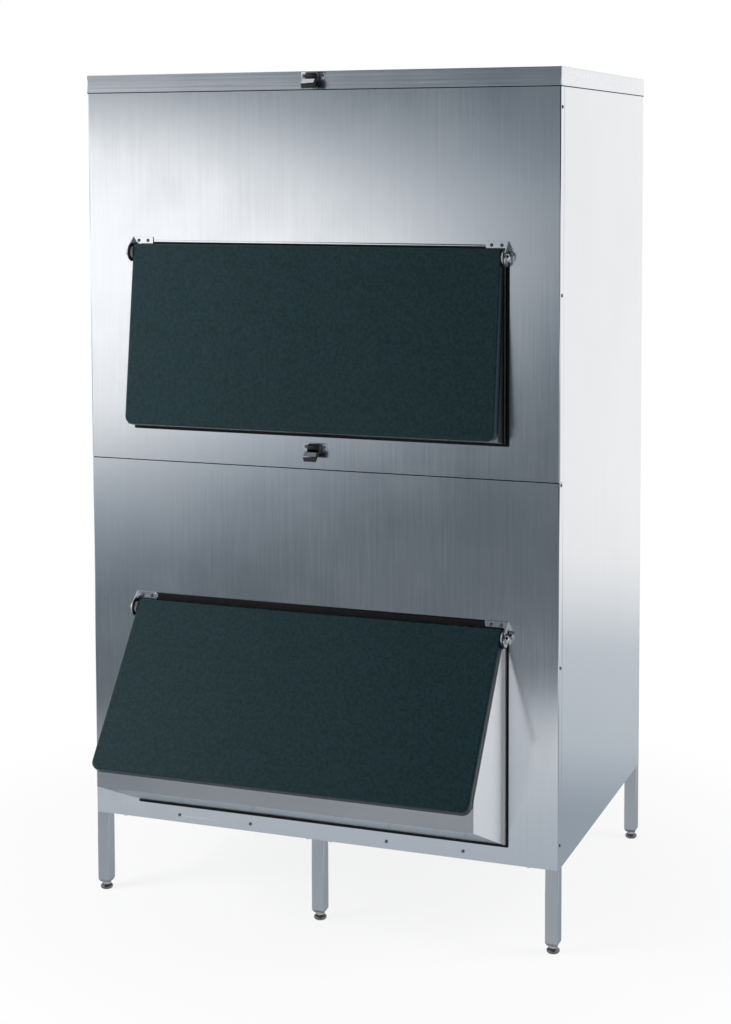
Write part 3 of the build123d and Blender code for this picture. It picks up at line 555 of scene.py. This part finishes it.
# %% Casing, hoppers, legs and rubber
sheet_nodes = (
    "top_cover", "upper_front_panel", "lower_front_panel", "left_side_panel", "right_side_panel",
    "back_panel", "base_pan", "upper_hopper_tray", "lower_hopper_tray", "corner_legs", "middle_legs",
)
sheet_edge, bracket_edge, edging_edge, lining_edge = 0.35, 0.7, 0.45, 0.8
bush_edge, liner_edge, plug_edge, bolt_edge = 0.5, 0.6, 0.6, 0.5
# the upper cheeks get painted shade, the lower cheeks painted light
cheek_light_and_shade = {"upper": painted_shade_steel, "lower": painted_light_cheek_steel}
for node in sheet_nodes:
    soften(node, sheet_edge, finishes=(nodes[node].data.materials[0],))
for bay in ("upper", "lower"):
    for side in ("left", "right"):
        soften(f"{bay}_hopper_{side}_cheek", sheet_edge, finishes=(cheek_light_and_shade[bay],))
        # painted highlight: the lower left bracket shows brighter than the other three, so it takes
        # the brighter bracket steel and the others the casing's
        bracket_finish = bracket_steel if (bay, side) == ("lower", "left") else casing_steel
        soften(f"{bay}_{side}_hinge_bracket", bracket_edge, 3, (bracket_finish,))
    soften(f"{bay}_opening_edging", edging_edge)
    soften(f"{bay}_door_lining", lining_edge, 3)
soften("hinge_bushes", bush_edge, 3)
soften("liner_tub", liner_edge, 3)
soften("liner_top", liner_edge, 3)
soften("leg_plugs", plug_edge, 2, (plug_nylon,))
soften("leg_bolts", bolt_edge)

# %% [markdown]
# ## The doors
#
# Each door is a shallow moulded tray, open at the back, where foam and a lining fill it. It could be
# cut from the frame's mesh, but its rounds show large in the picture, so it is made again with finer
# ones: a rectangle whose corners are bevelled, extruded to the door's thickness, its front rim
# rounded, and its back inset by the wall and pushed in. The tray is made flat on its own axes, then
# a matrix tilts it into its place at the hinge.

# %% Door shells
front_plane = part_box("upper_front_panel")[0][1]
hinge_stand_off = 17
door_half, door_over, door_drop = 515, 22, 461
door_thickness, door_wall = 24, 3
corner_below, corner_above, corner_steps = 22, 8, 8
front_round, round_steps = 6, 6
hinge_y = front_plane - hinge_stand_off * mm
hinge_z = {bay: sum(c[2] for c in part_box(f"{bay}_hinge_pins")) / 2 for bay in ("upper", "lower")}
door_tilt = {"upper": math.radians(7.5), "lower": math.radians(37.1)}


def door_place(bay):
    """Matrix from the door's own axes, x along the hinge and z out of its front."""
    tilt = door_tilt[bay]
    return (
        Matrix.Translation((0, hinge_y, hinge_z[bay]))
        @ Matrix.Rotation(math.pi / 2 - tilt, 4, "X")
    )


def points_of(result):
    return [item for item in result["geom"] if isinstance(item, bmesh.types.BMVert)]


def door_shell(bay):
    mesh = bmesh.new()
    half, over, drop = door_half * mm, door_over * mm, door_drop * mm
    back = -door_thickness / 2 * mm
    corners = ((-half, -drop, back), (half, -drop, back), (half, over, back), (-half, over, back))
    mesh.faces.new([mesh.verts.new(corner) for corner in corners])
    for low, radius in ((True, corner_below), (False, corner_above)):
        ends = [vert for vert in mesh.verts if (vert.co.y < 0) == low]
        bmesh.ops.bevel(
            mesh, geom=ends, offset=radius * mm, affect="VERTICES", segments=corner_steps,
            profile=0.5, material=-1,
        )
    grown = bmesh.ops.extrude_face_region(mesh, geom=mesh.faces[:])
    bmesh.ops.translate(mesh, verts=points_of(grown), vec=(0, 0, door_thickness * mm))
    rim = [edge for edge in mesh.edges if all(vert.co.z > 0 for vert in edge.verts)]
    round_edges(mesh, rim, front_round, round_steps)
    behind = min(mesh.faces, key=lambda face: face.calc_center_median().z)
    bmesh.ops.inset_region(
        mesh, faces=[behind], thickness=door_wall * mm, use_even_offset=True
    )
    pushed = bmesh.ops.extrude_face_region(mesh, geom=[behind])
    depth = door_thickness - door_wall
    bmesh.ops.translate(mesh, verts=points_of(pushed), vec=(0, 0, depth * mm))
    # the face that was pushed in leaves its first copy across the opening
    bmesh.ops.delete(mesh, geom=[behind], context="FACES_ONLY")
    bmesh.ops.transform(mesh, matrix=door_place(bay), verts=mesh.verts)
    return finish_piece(mesh, f"{bay}_door_tray", f"{bay}_door_shell")


for bay in ("upper", "lower"):
    door_shell(bay)

# %% [markdown]
# ## Turned pieces at the hinges
#
# Pins, spacers and washers all turn round the hinge axis, so each is half an outline spun round it.
# The pin's head is a low dome: a quarter of an ellipse, worked out by sine and cosine.

# %% Hinge pins, spacers and washers
pin_radius, pin_fit = 6, 0.05
pin_start, head_start, head_end = 470, 528.3, 537.3
head_radius, head_rim, head_edge = 12, 4, 0.5
dome_steps, ring_steps = 6, 40
spacer_radius, spacer_start, spacer_end, spacer_round = 16, 515.3, 521.2, 0.8
washer_radius, washer_start, washer_end, washer_round = 14, 526.5, 528, 0.35
sides = (-1, 1)


def ring_outline(radius, start, end, round_by):
    """Closed outline of a ring with its two outer corners taken off."""
    bore = pin_radius + pin_fit
    return (
        (bore, start), (radius - round_by, start), (radius, start + round_by),
        (radius, end - round_by), (radius - round_by, end), (bore, end), (bore, start),
    )


def pin_outline():
    dome_height = head_end - head_start - head_rim
    dome = []
    for step in range(dome_steps + 1):
        angle = math.pi / 2 * step / dome_steps
        along = head_start + head_rim + dome_height * math.sin(angle)
        dome.append((head_radius * math.cos(angle), along))
    return [
        (0, pin_start), (pin_radius, pin_start), (pin_radius, head_start),
        (head_radius - head_edge, head_start), (head_radius, head_start + head_edge), *dome,
    ]


def spin_at_hinges(mesh, outline, height, steps=32):
    """Spin an outline at both ends of a hinge, outwards from the middle."""
    for side in sides:
        lathe(mesh, outline, Vector((0, hinge_y, height)), Vector((side, 0, 0)), steps)


for bay in ("upper", "lower"):
    mesh = bmesh.new()
    spin_at_hinges(mesh, pin_outline(), hinge_z[bay])
    finish_piece(mesh, f"{bay}_domed_pins", f"{bay}_hinge_pins")
spacer = ring_outline(spacer_radius, spacer_start, spacer_end, spacer_round)
washer = ring_outline(washer_radius, washer_start, washer_end, washer_round)
for name, node, outline in (
    ("turned_spacers", "hinge_spacers", spacer), ("turned_washers", "hinge_washers", washer),
):
    mesh = bmesh.new()
    for height in hinge_z.values():
        spin_at_hinges(mesh, outline, height, ring_steps)
    finish_piece(mesh, name, node)

# %% [markdown]
# ## The hold-open catches
#
# A catch is a plate with a round knuckle, a hook that hangs from it, and a pin through both. The
# knuckle is black and the plate is bare. The hook is bare on top, and its front and sides are painted
# dark, a painted reflection of the dark that they mirror. One mesh can carry two finishes: each face
# has an index into the piece's list of materials, here chosen by where the face lies or which way it
# looks.

# %% Catches
plate_thickness, plate_margin, catch_edge = 2, 0.1, 0.4
looks_up = 0.35
bare, dark = 0, 1
catch_finishes = (catch_steel, catch_black)
for bay in ("upper", "lower"):
    node = f"{bay}_catch_base"
    mesh = merged_copy(node)
    round_edges(mesh, sharp_edges(mesh), catch_edge)
    plate_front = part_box(node)[1][1] - (plate_thickness + plate_margin) * mm
    for face in mesh.faces:
        face.material_index = dark if face.calc_center_median().y < plate_front else bare
    finish_piece(mesh, f"{bay}_catch_plate", node, catch_finishes, turn_out=False)

    node = f"{bay}_catch_hook"
    mesh = merged_copy(node)
    round_edges(mesh, sharp_edges(mesh), catch_edge)
    # painted reflection: the hook's faces that don't look up get the black finish for the dark they
    # mirror
    for face in mesh.faces:
        face.material_index = bare if face.normal.z > looks_up else dark
    finish_piece(mesh, f"{bay}_catch_hood", node, catch_finishes, turn_out=False)

# %% Catch pins
catch_pin_radius, catch_pin_half, catch_pin_edge = 2.5, 18.8, 0.6
knuckle_depth, catch_pin_steps = 9, 20
narrowed, shortened = catch_pin_radius - catch_pin_edge, catch_pin_half - catch_pin_edge
outline = (
    (0, -catch_pin_half), (narrowed, -catch_pin_half), (catch_pin_radius, -shortened),
    (catch_pin_radius, shortened), (narrowed, catch_pin_half), (0, catch_pin_half),
)
mesh = bmesh.new()
for bay in ("upper", "lower"):
    low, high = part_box(f"{bay}_catch_base")
    knuckle = Vector((0, low[1] + knuckle_depth * mm, (low[2] + high[2]) / 2))
    lathe(mesh, outline, knuckle, Vector((1, 0, 0)), catch_pin_steps)
finish_piece(mesh, "turned_catch_pins", "catch_pins")

# %% [markdown]
# ## Screws
#
# All sheet is held by pan-head screws with a cross recess. The head is a circle, extruded and
# bevelled. Its flat top is inset once more, and the inner ring is moved onto the outline of a cross:
# with 24 points, one every 15 degrees, a single formula puts each of them right. Pushing that face in
# makes the recess. Each screw of the frame is a separate island of its node's mesh, so their places
# are read from there, and the finished screw is copied to every one.

# %% One screw
screw_radius, screw_height, shank_radius = 4.5, 2, 2
head_round, recess_rim = 1.2, 0.4
cross_reach, cross_depth, cross_taper = 2.1, 1.1, 0.7
ring_points = 24
arm_half = cross_reach * math.tan(math.tau / ring_points)
almost_none = 0.001


def faces_of(result):
    return [item for item in result["geom"] if isinstance(item, bmesh.types.BMFace)]


def push(mesh, face, height, scale=1.0):
    """Extrude one face along z, about its own middle, and give back its new copy."""
    grown = bmesh.ops.extrude_face_region(mesh, geom=[face])
    moved = faces_of(grown)[0]
    middle = moved.calc_center_median()
    for vert in moved.verts:
        vert.co = middle + (vert.co - middle) * scale + Vector((0, 0, height * mm))
    return moved


def screw_shape(shank):
    """A screw with its seat at height 0 and its shank downwards."""
    mesh = bmesh.new()
    bmesh.ops.create_circle(mesh, cap_ends=True, segments=ring_points, radius=screw_radius * mm)
    mesh.faces.ensure_lookup_table()
    top = push(mesh, mesh.faces[0], screw_height)
    round_edges(mesh, list(top.edges), head_round, 3)
    top = max(mesh.faces, key=lambda face: face.calc_center_median().z)
    bmesh.ops.inset_individual(mesh, faces=[top], thickness=recess_rim * mm)
    for vert in top.verts:
        angle = math.atan2(vert.co.y, vert.co.x)
        across, along = sorted((abs(math.cos(angle)), abs(math.sin(angle))))
        reach = min(cross_reach / along, arm_half / max(across, almost_none)) * mm
        vert.co.x = reach * math.cos(angle)
        vert.co.y = reach * math.sin(angle)
    push(mesh, top, -cross_depth, cross_taper)
    under = min(mesh.faces, key=lambda face: face.calc_center_median().z)
    bmesh.ops.inset_individual(mesh, faces=[under], thickness=(screw_radius - shank_radius) * mm)
    push(mesh, under, -shank)
    data = bpy.data.meshes.new("one_screw")
    mesh.to_mesh(data)
    mesh.free()
    return data


# %% Screws in their places
def islands(node):
    """Lowest and highest corner of each separate solid in a node."""
    mesh = merged_copy(node)
    seen, found = set(), []
    for start in mesh.verts:
        if start in seen:
            continue
        seen.add(start)
        group = [start]
        for vert in group:
            for edge in vert.link_edges:
                other = edge.other_vert(vert)
                if other not in seen:
                    seen.add(other)
                    group.append(other)
        spans = [[vert.co[axis] for vert in group] for axis in range(3)]
        found.append((Vector(map(min, spans)), Vector(map(max, spans))))
    mesh.free()
    return found


def screws(name, node, finish):
    mesh = bmesh.new()
    for low, high in islands(node):
        size, middle = high - low, (low + high) / 2
        axis = min(range(3), key=lambda index: size[index])
        outward = Vector((0, 0, 0))
        outward[axis] = math.copysign(1, middle[axis])
        shank = size[axis] / mm - screw_height
        seat = middle + outward * (size[axis] / 2 - screw_height * mm)
        data = screw_shape(shank)
        count = len(mesh.verts)
        mesh.from_mesh(data)
        bpy.data.meshes.remove(data)
        mesh.verts.ensure_lookup_table()
        turn = outward.to_track_quat("Z", "Y").to_matrix().to_4x4()
        place = Matrix.Translation(seat) @ turn
        bmesh.ops.transform(mesh, matrix=place, verts=mesh.verts[count:])
    return finish_piece(mesh, name, node, (finish,))


screws("cross_casing_screws", "casing_screws", painted_shade_screw_steel)
screws("cross_hinge_screws", "hinge_screws", black_steel)
screws("cross_catch_screws", "catch_screws", painted_shade_screw_steel)

# %% [markdown]
# ## The feet
#
# Each foot is a pad, a hexagon to turn it by, and a threaded stem that goes up through the plug in
# the leg. The pad is spun from its outline. The stem's thread is a row of ridges, worked out by a
# loop, which at this size looks like a thread and costs far fewer faces than a helix.

# %% Feet
pad_base, pad_radius, rim_low, rim_high, pad_height = 14, 17, 4, 9, 13
base_out, base_up = 0.8, 0.4
rim_in, rim_edge = 0.3, 0.4
shoulder_in, shoulder_below, shoulder_above = 0.5, 0.6, 0.2
neck_out, neck_below = 0.8, 0.5
hex_across, hex_height, hex_edge = 22, 7, 0.7
stem_radius, stem_length, thread_pitch, thread_depth, thread_steps = 6, 60, 2, 0.6, 24
upwards = Vector((0, 0, 1))


def foot_pad(name, centre):
    neck = hex_across / 2
    outline = (
        (0, 0), (pad_base - base_out, 0), (pad_base, base_up),
        (pad_radius - rim_in, rim_low - rim_edge), (pad_radius, rim_low + rim_edge),
        (pad_radius, rim_high - shoulder_below), (pad_radius - shoulder_in, rim_high + shoulder_above),
        (neck + neck_out, pad_height - neck_below), (neck, pad_height), (0, pad_height),
    )
    mesh = bmesh.new()
    lathe(mesh, outline, centre, upwards)
    finish_piece(mesh, name + "_pad", name, (foot_steel,))


def foot_stem(name, centre):
    mesh = bmesh.new()
    top = pad_height + hex_height
    reach = hex_across / 2 / math.cos(math.pi / 6) * mm
    middle = Matrix.Translation(centre + Vector((0, 0, (pad_height + hex_height / 2) * mm)))
    bmesh.ops.create_cone(
        mesh, cap_ends=True, segments=6, radius1=reach, radius2=reach, depth=hex_height * mm,
        matrix=middle,
    )
    round_edges(mesh, sharp_edges(mesh), hex_edge)
    ridges = int(stem_length / thread_pitch)
    outline = [(0, top), (stem_radius - thread_depth, top)]
    for ridge in range(ridges):
        start = top + ridge * thread_pitch
        outline.append((stem_radius, start + thread_pitch / 2))
        outline.append((stem_radius - thread_depth, start + thread_pitch))
    outline.append((0, top + stem_length))
    lathe(mesh, outline, centre, upwards, thread_steps)
    finish_piece(mesh, name + "_stem", name, (nut_steel,))


for end in ("front", "rear"):
    for side in ("left", "middle", "right"):
        name = f"foot_{end}_{side}"
        low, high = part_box(name)
        centre = Vector(((low[0] + high[0]) / 2, (low[1] + high[1]) / 2, 0))
        foot_pad(name, centre)
        foot_stem(name, centre)

# %% [markdown]
# ## The drain
#
# Meltwater leaves through a moulded spigot. A hose is pushed over its lower end, where barbs hold it:
# a saw-tooth outline, again from a loop, spun round the upright axis.

# %% Drain spigot
bore, wall_radius, hose_radius, flange_radius = 10, 13, 12, 28
drain_low, hose_length, flange_low, flange_thickness = 186, 30, 272, 3
barbs, barb_depth, barb_slope, drain_steps = 5, 1, 0.8, 40
low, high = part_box("drain_spigot")
drain_middle = Vector(((low[0] + high[0]) / 2, (low[1] + high[1]) / 2, 0))
outline = [(bore, drain_low)]
for barb in range(barbs):
    start = drain_low + barb * hose_length / barbs
    outline.append((hose_radius - barb_depth, start))
    outline.append((hose_radius, start + barb_slope * hose_length / barbs))
outline += [
    (hose_radius - barb_depth, drain_low + hose_length), (wall_radius, drain_low + hose_length),
    (wall_radius, flange_low), (flange_radius, flange_low),
    (flange_radius, flange_low + flange_thickness / 2), (wall_radius, flange_low + flange_thickness),
    (bore, flange_low + flange_thickness / 2), (bore, drain_low),
]
mesh = bmesh.new()
lathe(mesh, outline, drain_middle, upwards, drain_steps)
finish_piece(mesh, "barbed_drain_spigot", "drain_spigot")

# %% [markdown]
# ## The painted shade over the lower door
#
# Just over the lower opening, along the panel, lies a band of shade. A flap of black rubber paints
# it, from one hinge plate to the other. Its section is a few points with a thicker bead on top,
# extruded along the panel.

# %% Head shadow strip
head_strip_half, head_strip_low, head_strip_high, head_strip_web = 464, 27.5, 40, 1.4
bead, bead_height, bead_slope, bead_edge = 2.4, 3.2, 0.8, 0.6
head = hinge_z["lower"]
bead_low = head_strip_high - bead_height
section = (
    (0, head_strip_low), (head_strip_web, head_strip_low), (head_strip_web, bead_low), (bead, bead_low + bead_slope),
    (bead, head_strip_high - bead_edge), (bead - bead_edge, head_strip_high), (0, head_strip_high),
)
# painted shade: a black rubber strip over the lower opening
mesh = bmesh.new()
end = mesh.faces.new(
    [
        mesh.verts.new((-head_strip_half * mm, front_plane - out * mm, head + up * mm))
        for out, up in section
    ]
)
grown = bmesh.ops.extrude_face_region(mesh, geom=[end])
bmesh.ops.translate(mesh, verts=points_of(grown), vec=(2 * head_strip_half * mm, 0, 0))
finish_piece(mesh, "lower_head_shadow_strip", "lower_opening_edging", stands_for=False)

# %% [markdown]
# ## The painted shadow under the cover
#
# Right under the skirt of the cover, the gap between skirt and panels is in shade. A thin black
# strip paints that shadow: a rectangle, inset to a frame, extruded by its height and slightly
# rounded. It rides with the cover, and takes the rubber's finish.

# %% Cover shadow strip
skirt_reach, shadow_strip_reach = 1.7, 1.0
shadow_strip_width, shadow_strip_height, shadow_strip_round = 2.2, 2.4, 0.3
low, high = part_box("top_cover")
edge = (skirt_reach - shadow_strip_reach) * mm
corners = (
    (low[0] + edge, low[1] + edge), (high[0] - edge, low[1] + edge),
    (high[0] - edge, high[1] - edge), (low[0] + edge, high[1] - edge),
)
mesh = bmesh.new()
# painted shadow: a black strip where the gap under the skirt is in shade
sheet = mesh.faces.new([mesh.verts.new((x, y, low[2] - shadow_strip_height * mm)) for x, y in corners])
bmesh.ops.inset_individual(
    mesh, faces=[sheet], thickness=shadow_strip_width * mm, use_even_offset=True
)
bmesh.ops.delete(mesh, geom=[sheet], context="FACES_ONLY")
grown = bmesh.ops.extrude_face_region(mesh, geom=mesh.faces[:])
bmesh.ops.translate(mesh, verts=points_of(grown), vec=(0, 0, shadow_strip_height * mm))
round_edges(mesh, sharp_edges(mesh), shadow_strip_round)
finish_piece(mesh, "cover_shadow_strip", "top_cover", (edging_rubber,), stands_for=False)

# %% [markdown]
# ## The studio
#
# The floor is a pale disc that fades to white, so that it keeps the bin's shadow but has no rim. It
# is clear to mirrors, because what the steel shows matters more than the lamps, and that is drawn in
# the world behind it.

# %% Floor
floor_radius, floor_points = 2.65, 96
paper_colour = (0.88, 0.88, 0.88, 1)
near_whiteness, far_whiteness = 0.86, 1.0
fade_start, fade_end = 0.7, 1.8
floor_mesh = bmesh.new()
bmesh.ops.create_circle(floor_mesh, cap_ends=True, segments=floor_points, radius=floor_radius)
floor_data = bpy.data.meshes.new("floor")
floor_mesh.to_mesh(floor_data)
floor_mesh.free()
floor = bpy.data.objects.new("floor", floor_data)
bpy.context.scene.collection.objects.link(floor)
floor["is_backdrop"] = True

floor_paint = bpy.data.materials.new("floor_paint")
floor_paint.use_nodes = True
floor_paint.node_tree.nodes.clear()
output = add_node(floor_paint, "ShaderNodeOutputMaterial")
paper = add_node(floor_paint, "ShaderNodeBsdfDiffuse", inputs={"Color": paper_colour})
clear = add_node(floor_paint, "ShaderNodeBsdfTransparent")
white = add_node(floor_paint, "ShaderNodeEmission", inputs={"Color": (1, 1, 1, 1), "Strength": 1.0})
rays = add_node(floor_paint, "ShaderNodeLightPath")
place = add_node(floor_paint, "ShaderNodeTexCoord")

# the camera sees it fade to white away from the bin
far = add_node(floor_paint, "ShaderNodeVectorMath", operation="LENGTH")
link(floor_paint, place.outputs["Object"], far.inputs[0])
whiteness = spread(
    floor_paint, far.outputs["Value"], near_whiteness, far_whiteness, fade_start, fade_end
)
seen = calc(floor_paint, "MULTIPLY", rays.outputs["Is Camera Ray"], whiteness)
blend = add_node(floor_paint, "ShaderNodeMixShader")
link(floor_paint, seen, blend.inputs[0])
link(floor_paint, paper.outputs[0], blend.inputs[1])
link(floor_paint, white.outputs[0], blend.inputs[2])
mirrored = add_node(floor_paint, "ShaderNodeMixShader")
link(floor_paint, rays.outputs["Is Glossy Ray"], mirrored.inputs[0])
link(floor_paint, blend.outputs[0], mirrored.inputs[1])
link(floor_paint, clear.outputs[0], mirrored.inputs[2])
link(floor_paint, mirrored.outputs[0], output.inputs["Surface"])
give_finish(floor, floor_paint)
print("floor", floor_radius, "m")

# %% [markdown]
# ## The walls that the steel mirrors
#
# Steel is a mirror, so its look is the look of the room. Real walls and cards could stand round the
# bin, but a world drawn by direction is easier to shape, and nothing of it gets in the way. A
# direction has an azimuth, here from the front towards the left, and a depression, the angle that it
# points below the horizon, both in degrees.

# %% Directions in the world
world = bpy.data.worlds.new("studio")
bpy.context.scene.world = world
world.use_nodes = True
world.node_tree.nodes.clear()
output = add_node(world, "ShaderNodeOutputWorld")
even_colour, even_light = (0.97, 0.985, 1.0, 1), 0.27
plain = add_node(world, "ShaderNodeBackground", inputs={"Color": even_colour, "Strength": even_light})
white = add_node(world, "ShaderNodeBackground", inputs={"Color": (1, 1, 1, 1), "Strength": 1.0})
walls = add_node(world, "ShaderNodeBackground", inputs={"Strength": 1.0})
rays = add_node(world, "ShaderNodeLightPath")
place = add_node(world, "ShaderNodeTexCoord")
axes = add_node(world, "ShaderNodeSeparateXYZ")
link(world, place.outputs["Generated"], axes.inputs[0])
to_left = calc(world, "MULTIPLY", axes.outputs["X"], -1)
to_front = calc(world, "MULTIPLY", axes.outputs["Y"], -1)

# the walls were placed for a camera without the tilt; these bring mirrored angles back to that one
turn_scale, turn_start = 0.9317, 0.911
drop_scale, drop_start = -0.9233, 1.741
turn = calc(world, "DEGREES", calc(world, "ARCTAN2", to_left, to_front))
azimuth = calc(world, "MULTIPLY_ADD", turn, turn_scale, turn_start)
elevation = calc(world, "DEGREES", calc(world, "ARCSINE", axes.outputs["Z"]))
depression = calc(world, "MULTIPLY_ADD", elevation, drop_scale, drop_start)
print("world nodes", len(world.node_tree.nodes))

# %% [markdown]
# ## The bright band in front of the doors
#
# The front panels mirror a bright band that lies between two dark ones. Its top comes in softly and
# its foot goes out softly, so two values, rise and fall, are multiplied. Towards the right, past the
# end of the wall, the top gets softer still and the foot lifts. Below it, the white paper on the
# floor starts along a slanting edge, and turns grey nearer to the camera.

# %% The band and the paper
wall_azimuth = 27.5
dark_wall, bright_wall = 0.185, 1.64
band_top, top_softness, softer_past_wall = 1.2, 2.9, 0.25
bend_share, foot_bend, foot_slope = 0.052, 0.2, 0.32
past_wall = calc(world, "MAXIMUM", calc(world, "SUBTRACT", wall_azimuth, azimuth), 0.0)
bend = calc(world, "MULTIPLY", calc(world, "MULTIPLY", past_wall, past_wall), bend_share)
softness = calc(
    world, "ADD", calc(world, "MULTIPLY_ADD", past_wall, softer_past_wall, top_softness), bend
)
rise = spread(world, calc(world, "DIVIDE", calc(world, "ADD", depression, band_top), softness), 0, 1)
bent_foot = calc(world, "MULTIPLY", bend, foot_bend)
slant = calc(world, "MULTIPLY_ADD", past_wall, foot_slope, bent_foot)
sloped = calc(world, "ADD", slant, depression)
fall = curve(
    world, sloped,
    ((6.5, 1.0), (8.0, 0.93), (9.4, 0.62), (10.3, 0.4), (11.3, 0.24), (12.6, 0.1), (14.3, 0.0)),
)
lit = calc(world, "MULTIPLY", rise, fall)
wall = calc(world, "MULTIPLY_ADD", lit, bright_wall - dark_wall, dark_wall)

paper_slope, paper_lift = -0.09, 1.35
paper_start, paper_full = 15.7, 17.3
white_paper, grey_paper = 1.0, 0.66
grey_start, grey_full = 17.9, 19.6
paper_edge = calc(world, "MULTIPLY_ADD", azimuth, paper_slope, paper_lift)
below = calc(world, "ADD", depression, paper_edge)
paper_share = spread(world, below, 0, 1, paper_start, paper_full)
paper_level = spread(world, depression, white_paper, grey_paper, grey_start, grey_full)


def blend_levels(share, first, second):
    """The first level where the share is 0 and the second where it is 1."""
    kept = calc(world, "MULTIPLY", first, calc(world, "SUBTRACT", 1.0, share))
    return calc(world, "ADD", kept, calc(world, "MULTIPLY", share, second))


front_level = blend_levels(paper_share, wall, paper_level)
print("wall levels", dark_wall, bright_wall)

# %% [markdown]
# ## The other walls and the ceiling
#
# The sides mirror a plain wall that is bright above and dim at its foot. It takes over from the front
# with the angle away from it. The ceiling in front of the bin brightens towards the left, and the
# rest of it is plain.

# %% The walls all round and the ceiling
side_peak = 1.3
front_azimuth, side_start, side_full = 20.0, 38, 85
side_level = curve(
    world, depression,
    ((10.5, 1.19), (12.5, 1.15), (13.8, 0.97), (15.0, 0.74), (17.5, 0.68), (19.2, 0.45), (30, 0.5)),
    side_peak,
)
turned = calc(world, "ABSOLUTE", calc(world, "SUBTRACT", azimuth, front_azimuth))
side_share = spread(world, turned, 0, 1, side_start, side_full)
around = blend_levels(side_share, front_level, side_level)

plain_ceiling, bright_ceiling = 0.8, 1.35
ceiling_right, ceiling_left = 0.29, 0.54
beside_front, within_front = 0.1, 0.45
horizon_blend, ceiling_full = 3.2, 10
in_front = spread(world, to_front, 0, 1, beside_front, within_front)
front_ceiling = spread(world, to_left, 0.0, bright_ceiling, ceiling_right, ceiling_left)
ceiling = blend_levels(in_front, plain_ceiling, front_ceiling)
to_ceiling = spread(world, elevation, 0.0, 1.0, horizon_blend, ceiling_full)
level = blend_levels(to_ceiling, around, ceiling)
print("world nodes", len(world.node_tree.nodes))

# %% [markdown]
# ## What each ray sees
#
# The world's light depends on the kind of ray: the camera sees plain white, a mirror sees the walls,
# and everything else gets an even level. The walls are tinted by their level, for dim ones are a
# little blue in the picture and bright ones a little warm.

# %% Tint and output
dim_level, full_level = 0.25, 1.2
dim_tint, bright_tint = (0.86, 0.985, 1.11), (1.01, 0.99, 0.975)
tint = add_node(world, "ShaderNodeCombineColor")
for socket, dim_share, bright_share in zip(tint.inputs, dim_tint, bright_tint):
    share = spread(world, level, dim_share, bright_share, dim_level, full_level)
    link(world, calc(world, "MULTIPLY", level, share), socket)
link(world, tint.outputs[0], walls.inputs["Color"])
mirror_mix = add_node(world, "ShaderNodeMixShader")
link(world, rays.outputs["Is Glossy Ray"], mirror_mix.inputs[0])
link(world, plain.outputs[0], mirror_mix.inputs[1])
link(world, walls.outputs[0], mirror_mix.inputs[2])
camera_mix = add_node(world, "ShaderNodeMixShader")
link(world, rays.outputs["Is Camera Ray"], camera_mix.inputs[0])
link(world, mirror_mix.outputs[0], camera_mix.inputs[1])
link(world, white.outputs[0], camera_mix.inputs[2])
link(world, camera_mix.outputs[0], output.inputs["Surface"])
print("world links", len(world.node_tree.links))

# %% [markdown]
# ## Lamps
#
# Two area lamps give the plastics and the lower cheeks their soft form: a strong one from the front
# left, and a wider, weaker one from the right. Mirrors don't see them, because the walls already do
# that work.

# %% Lamps
def soft_lamp(name, place, aim, size, power):
    data = bpy.data.lights.new(name, "AREA")
    data.shape = "SQUARE"
    data.size = size
    data.energy = power
    lamp = bpy.data.objects.new(name, data)
    bpy.context.scene.collection.objects.link(lamp)
    way = Vector(aim) - Vector(place)
    lamp.matrix_world = Matrix.Translation(place) @ way.to_track_quat("-Z", "Y").to_matrix().to_4x4()
    lamp.visible_glossy = False
    lamp.visible_camera = False
    print(name, power, "W")
    return lamp


bin_middle = (0, 0, 1.1)
key_place, key_size, key_power = (-2.5, -2.2, 2.2), 1.4, 110
fill_place, fill_size, fill_power = (3.6, 0.6, 2.6), 2.4, 90
soft_lamp("key_lamp", key_place, bin_middle, key_size, key_power)
soft_lamp("fill_lamp", fill_place, bin_middle, fill_size, fill_power)
bpy.context.scene.view_settings.view_transform = "Standard"

# %% [markdown]
# ## Measured
#
# The finished bin is measured: the lowest and highest corners of all that is drawn, the floor left
# out.

# %% Measure the bounds
low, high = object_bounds()
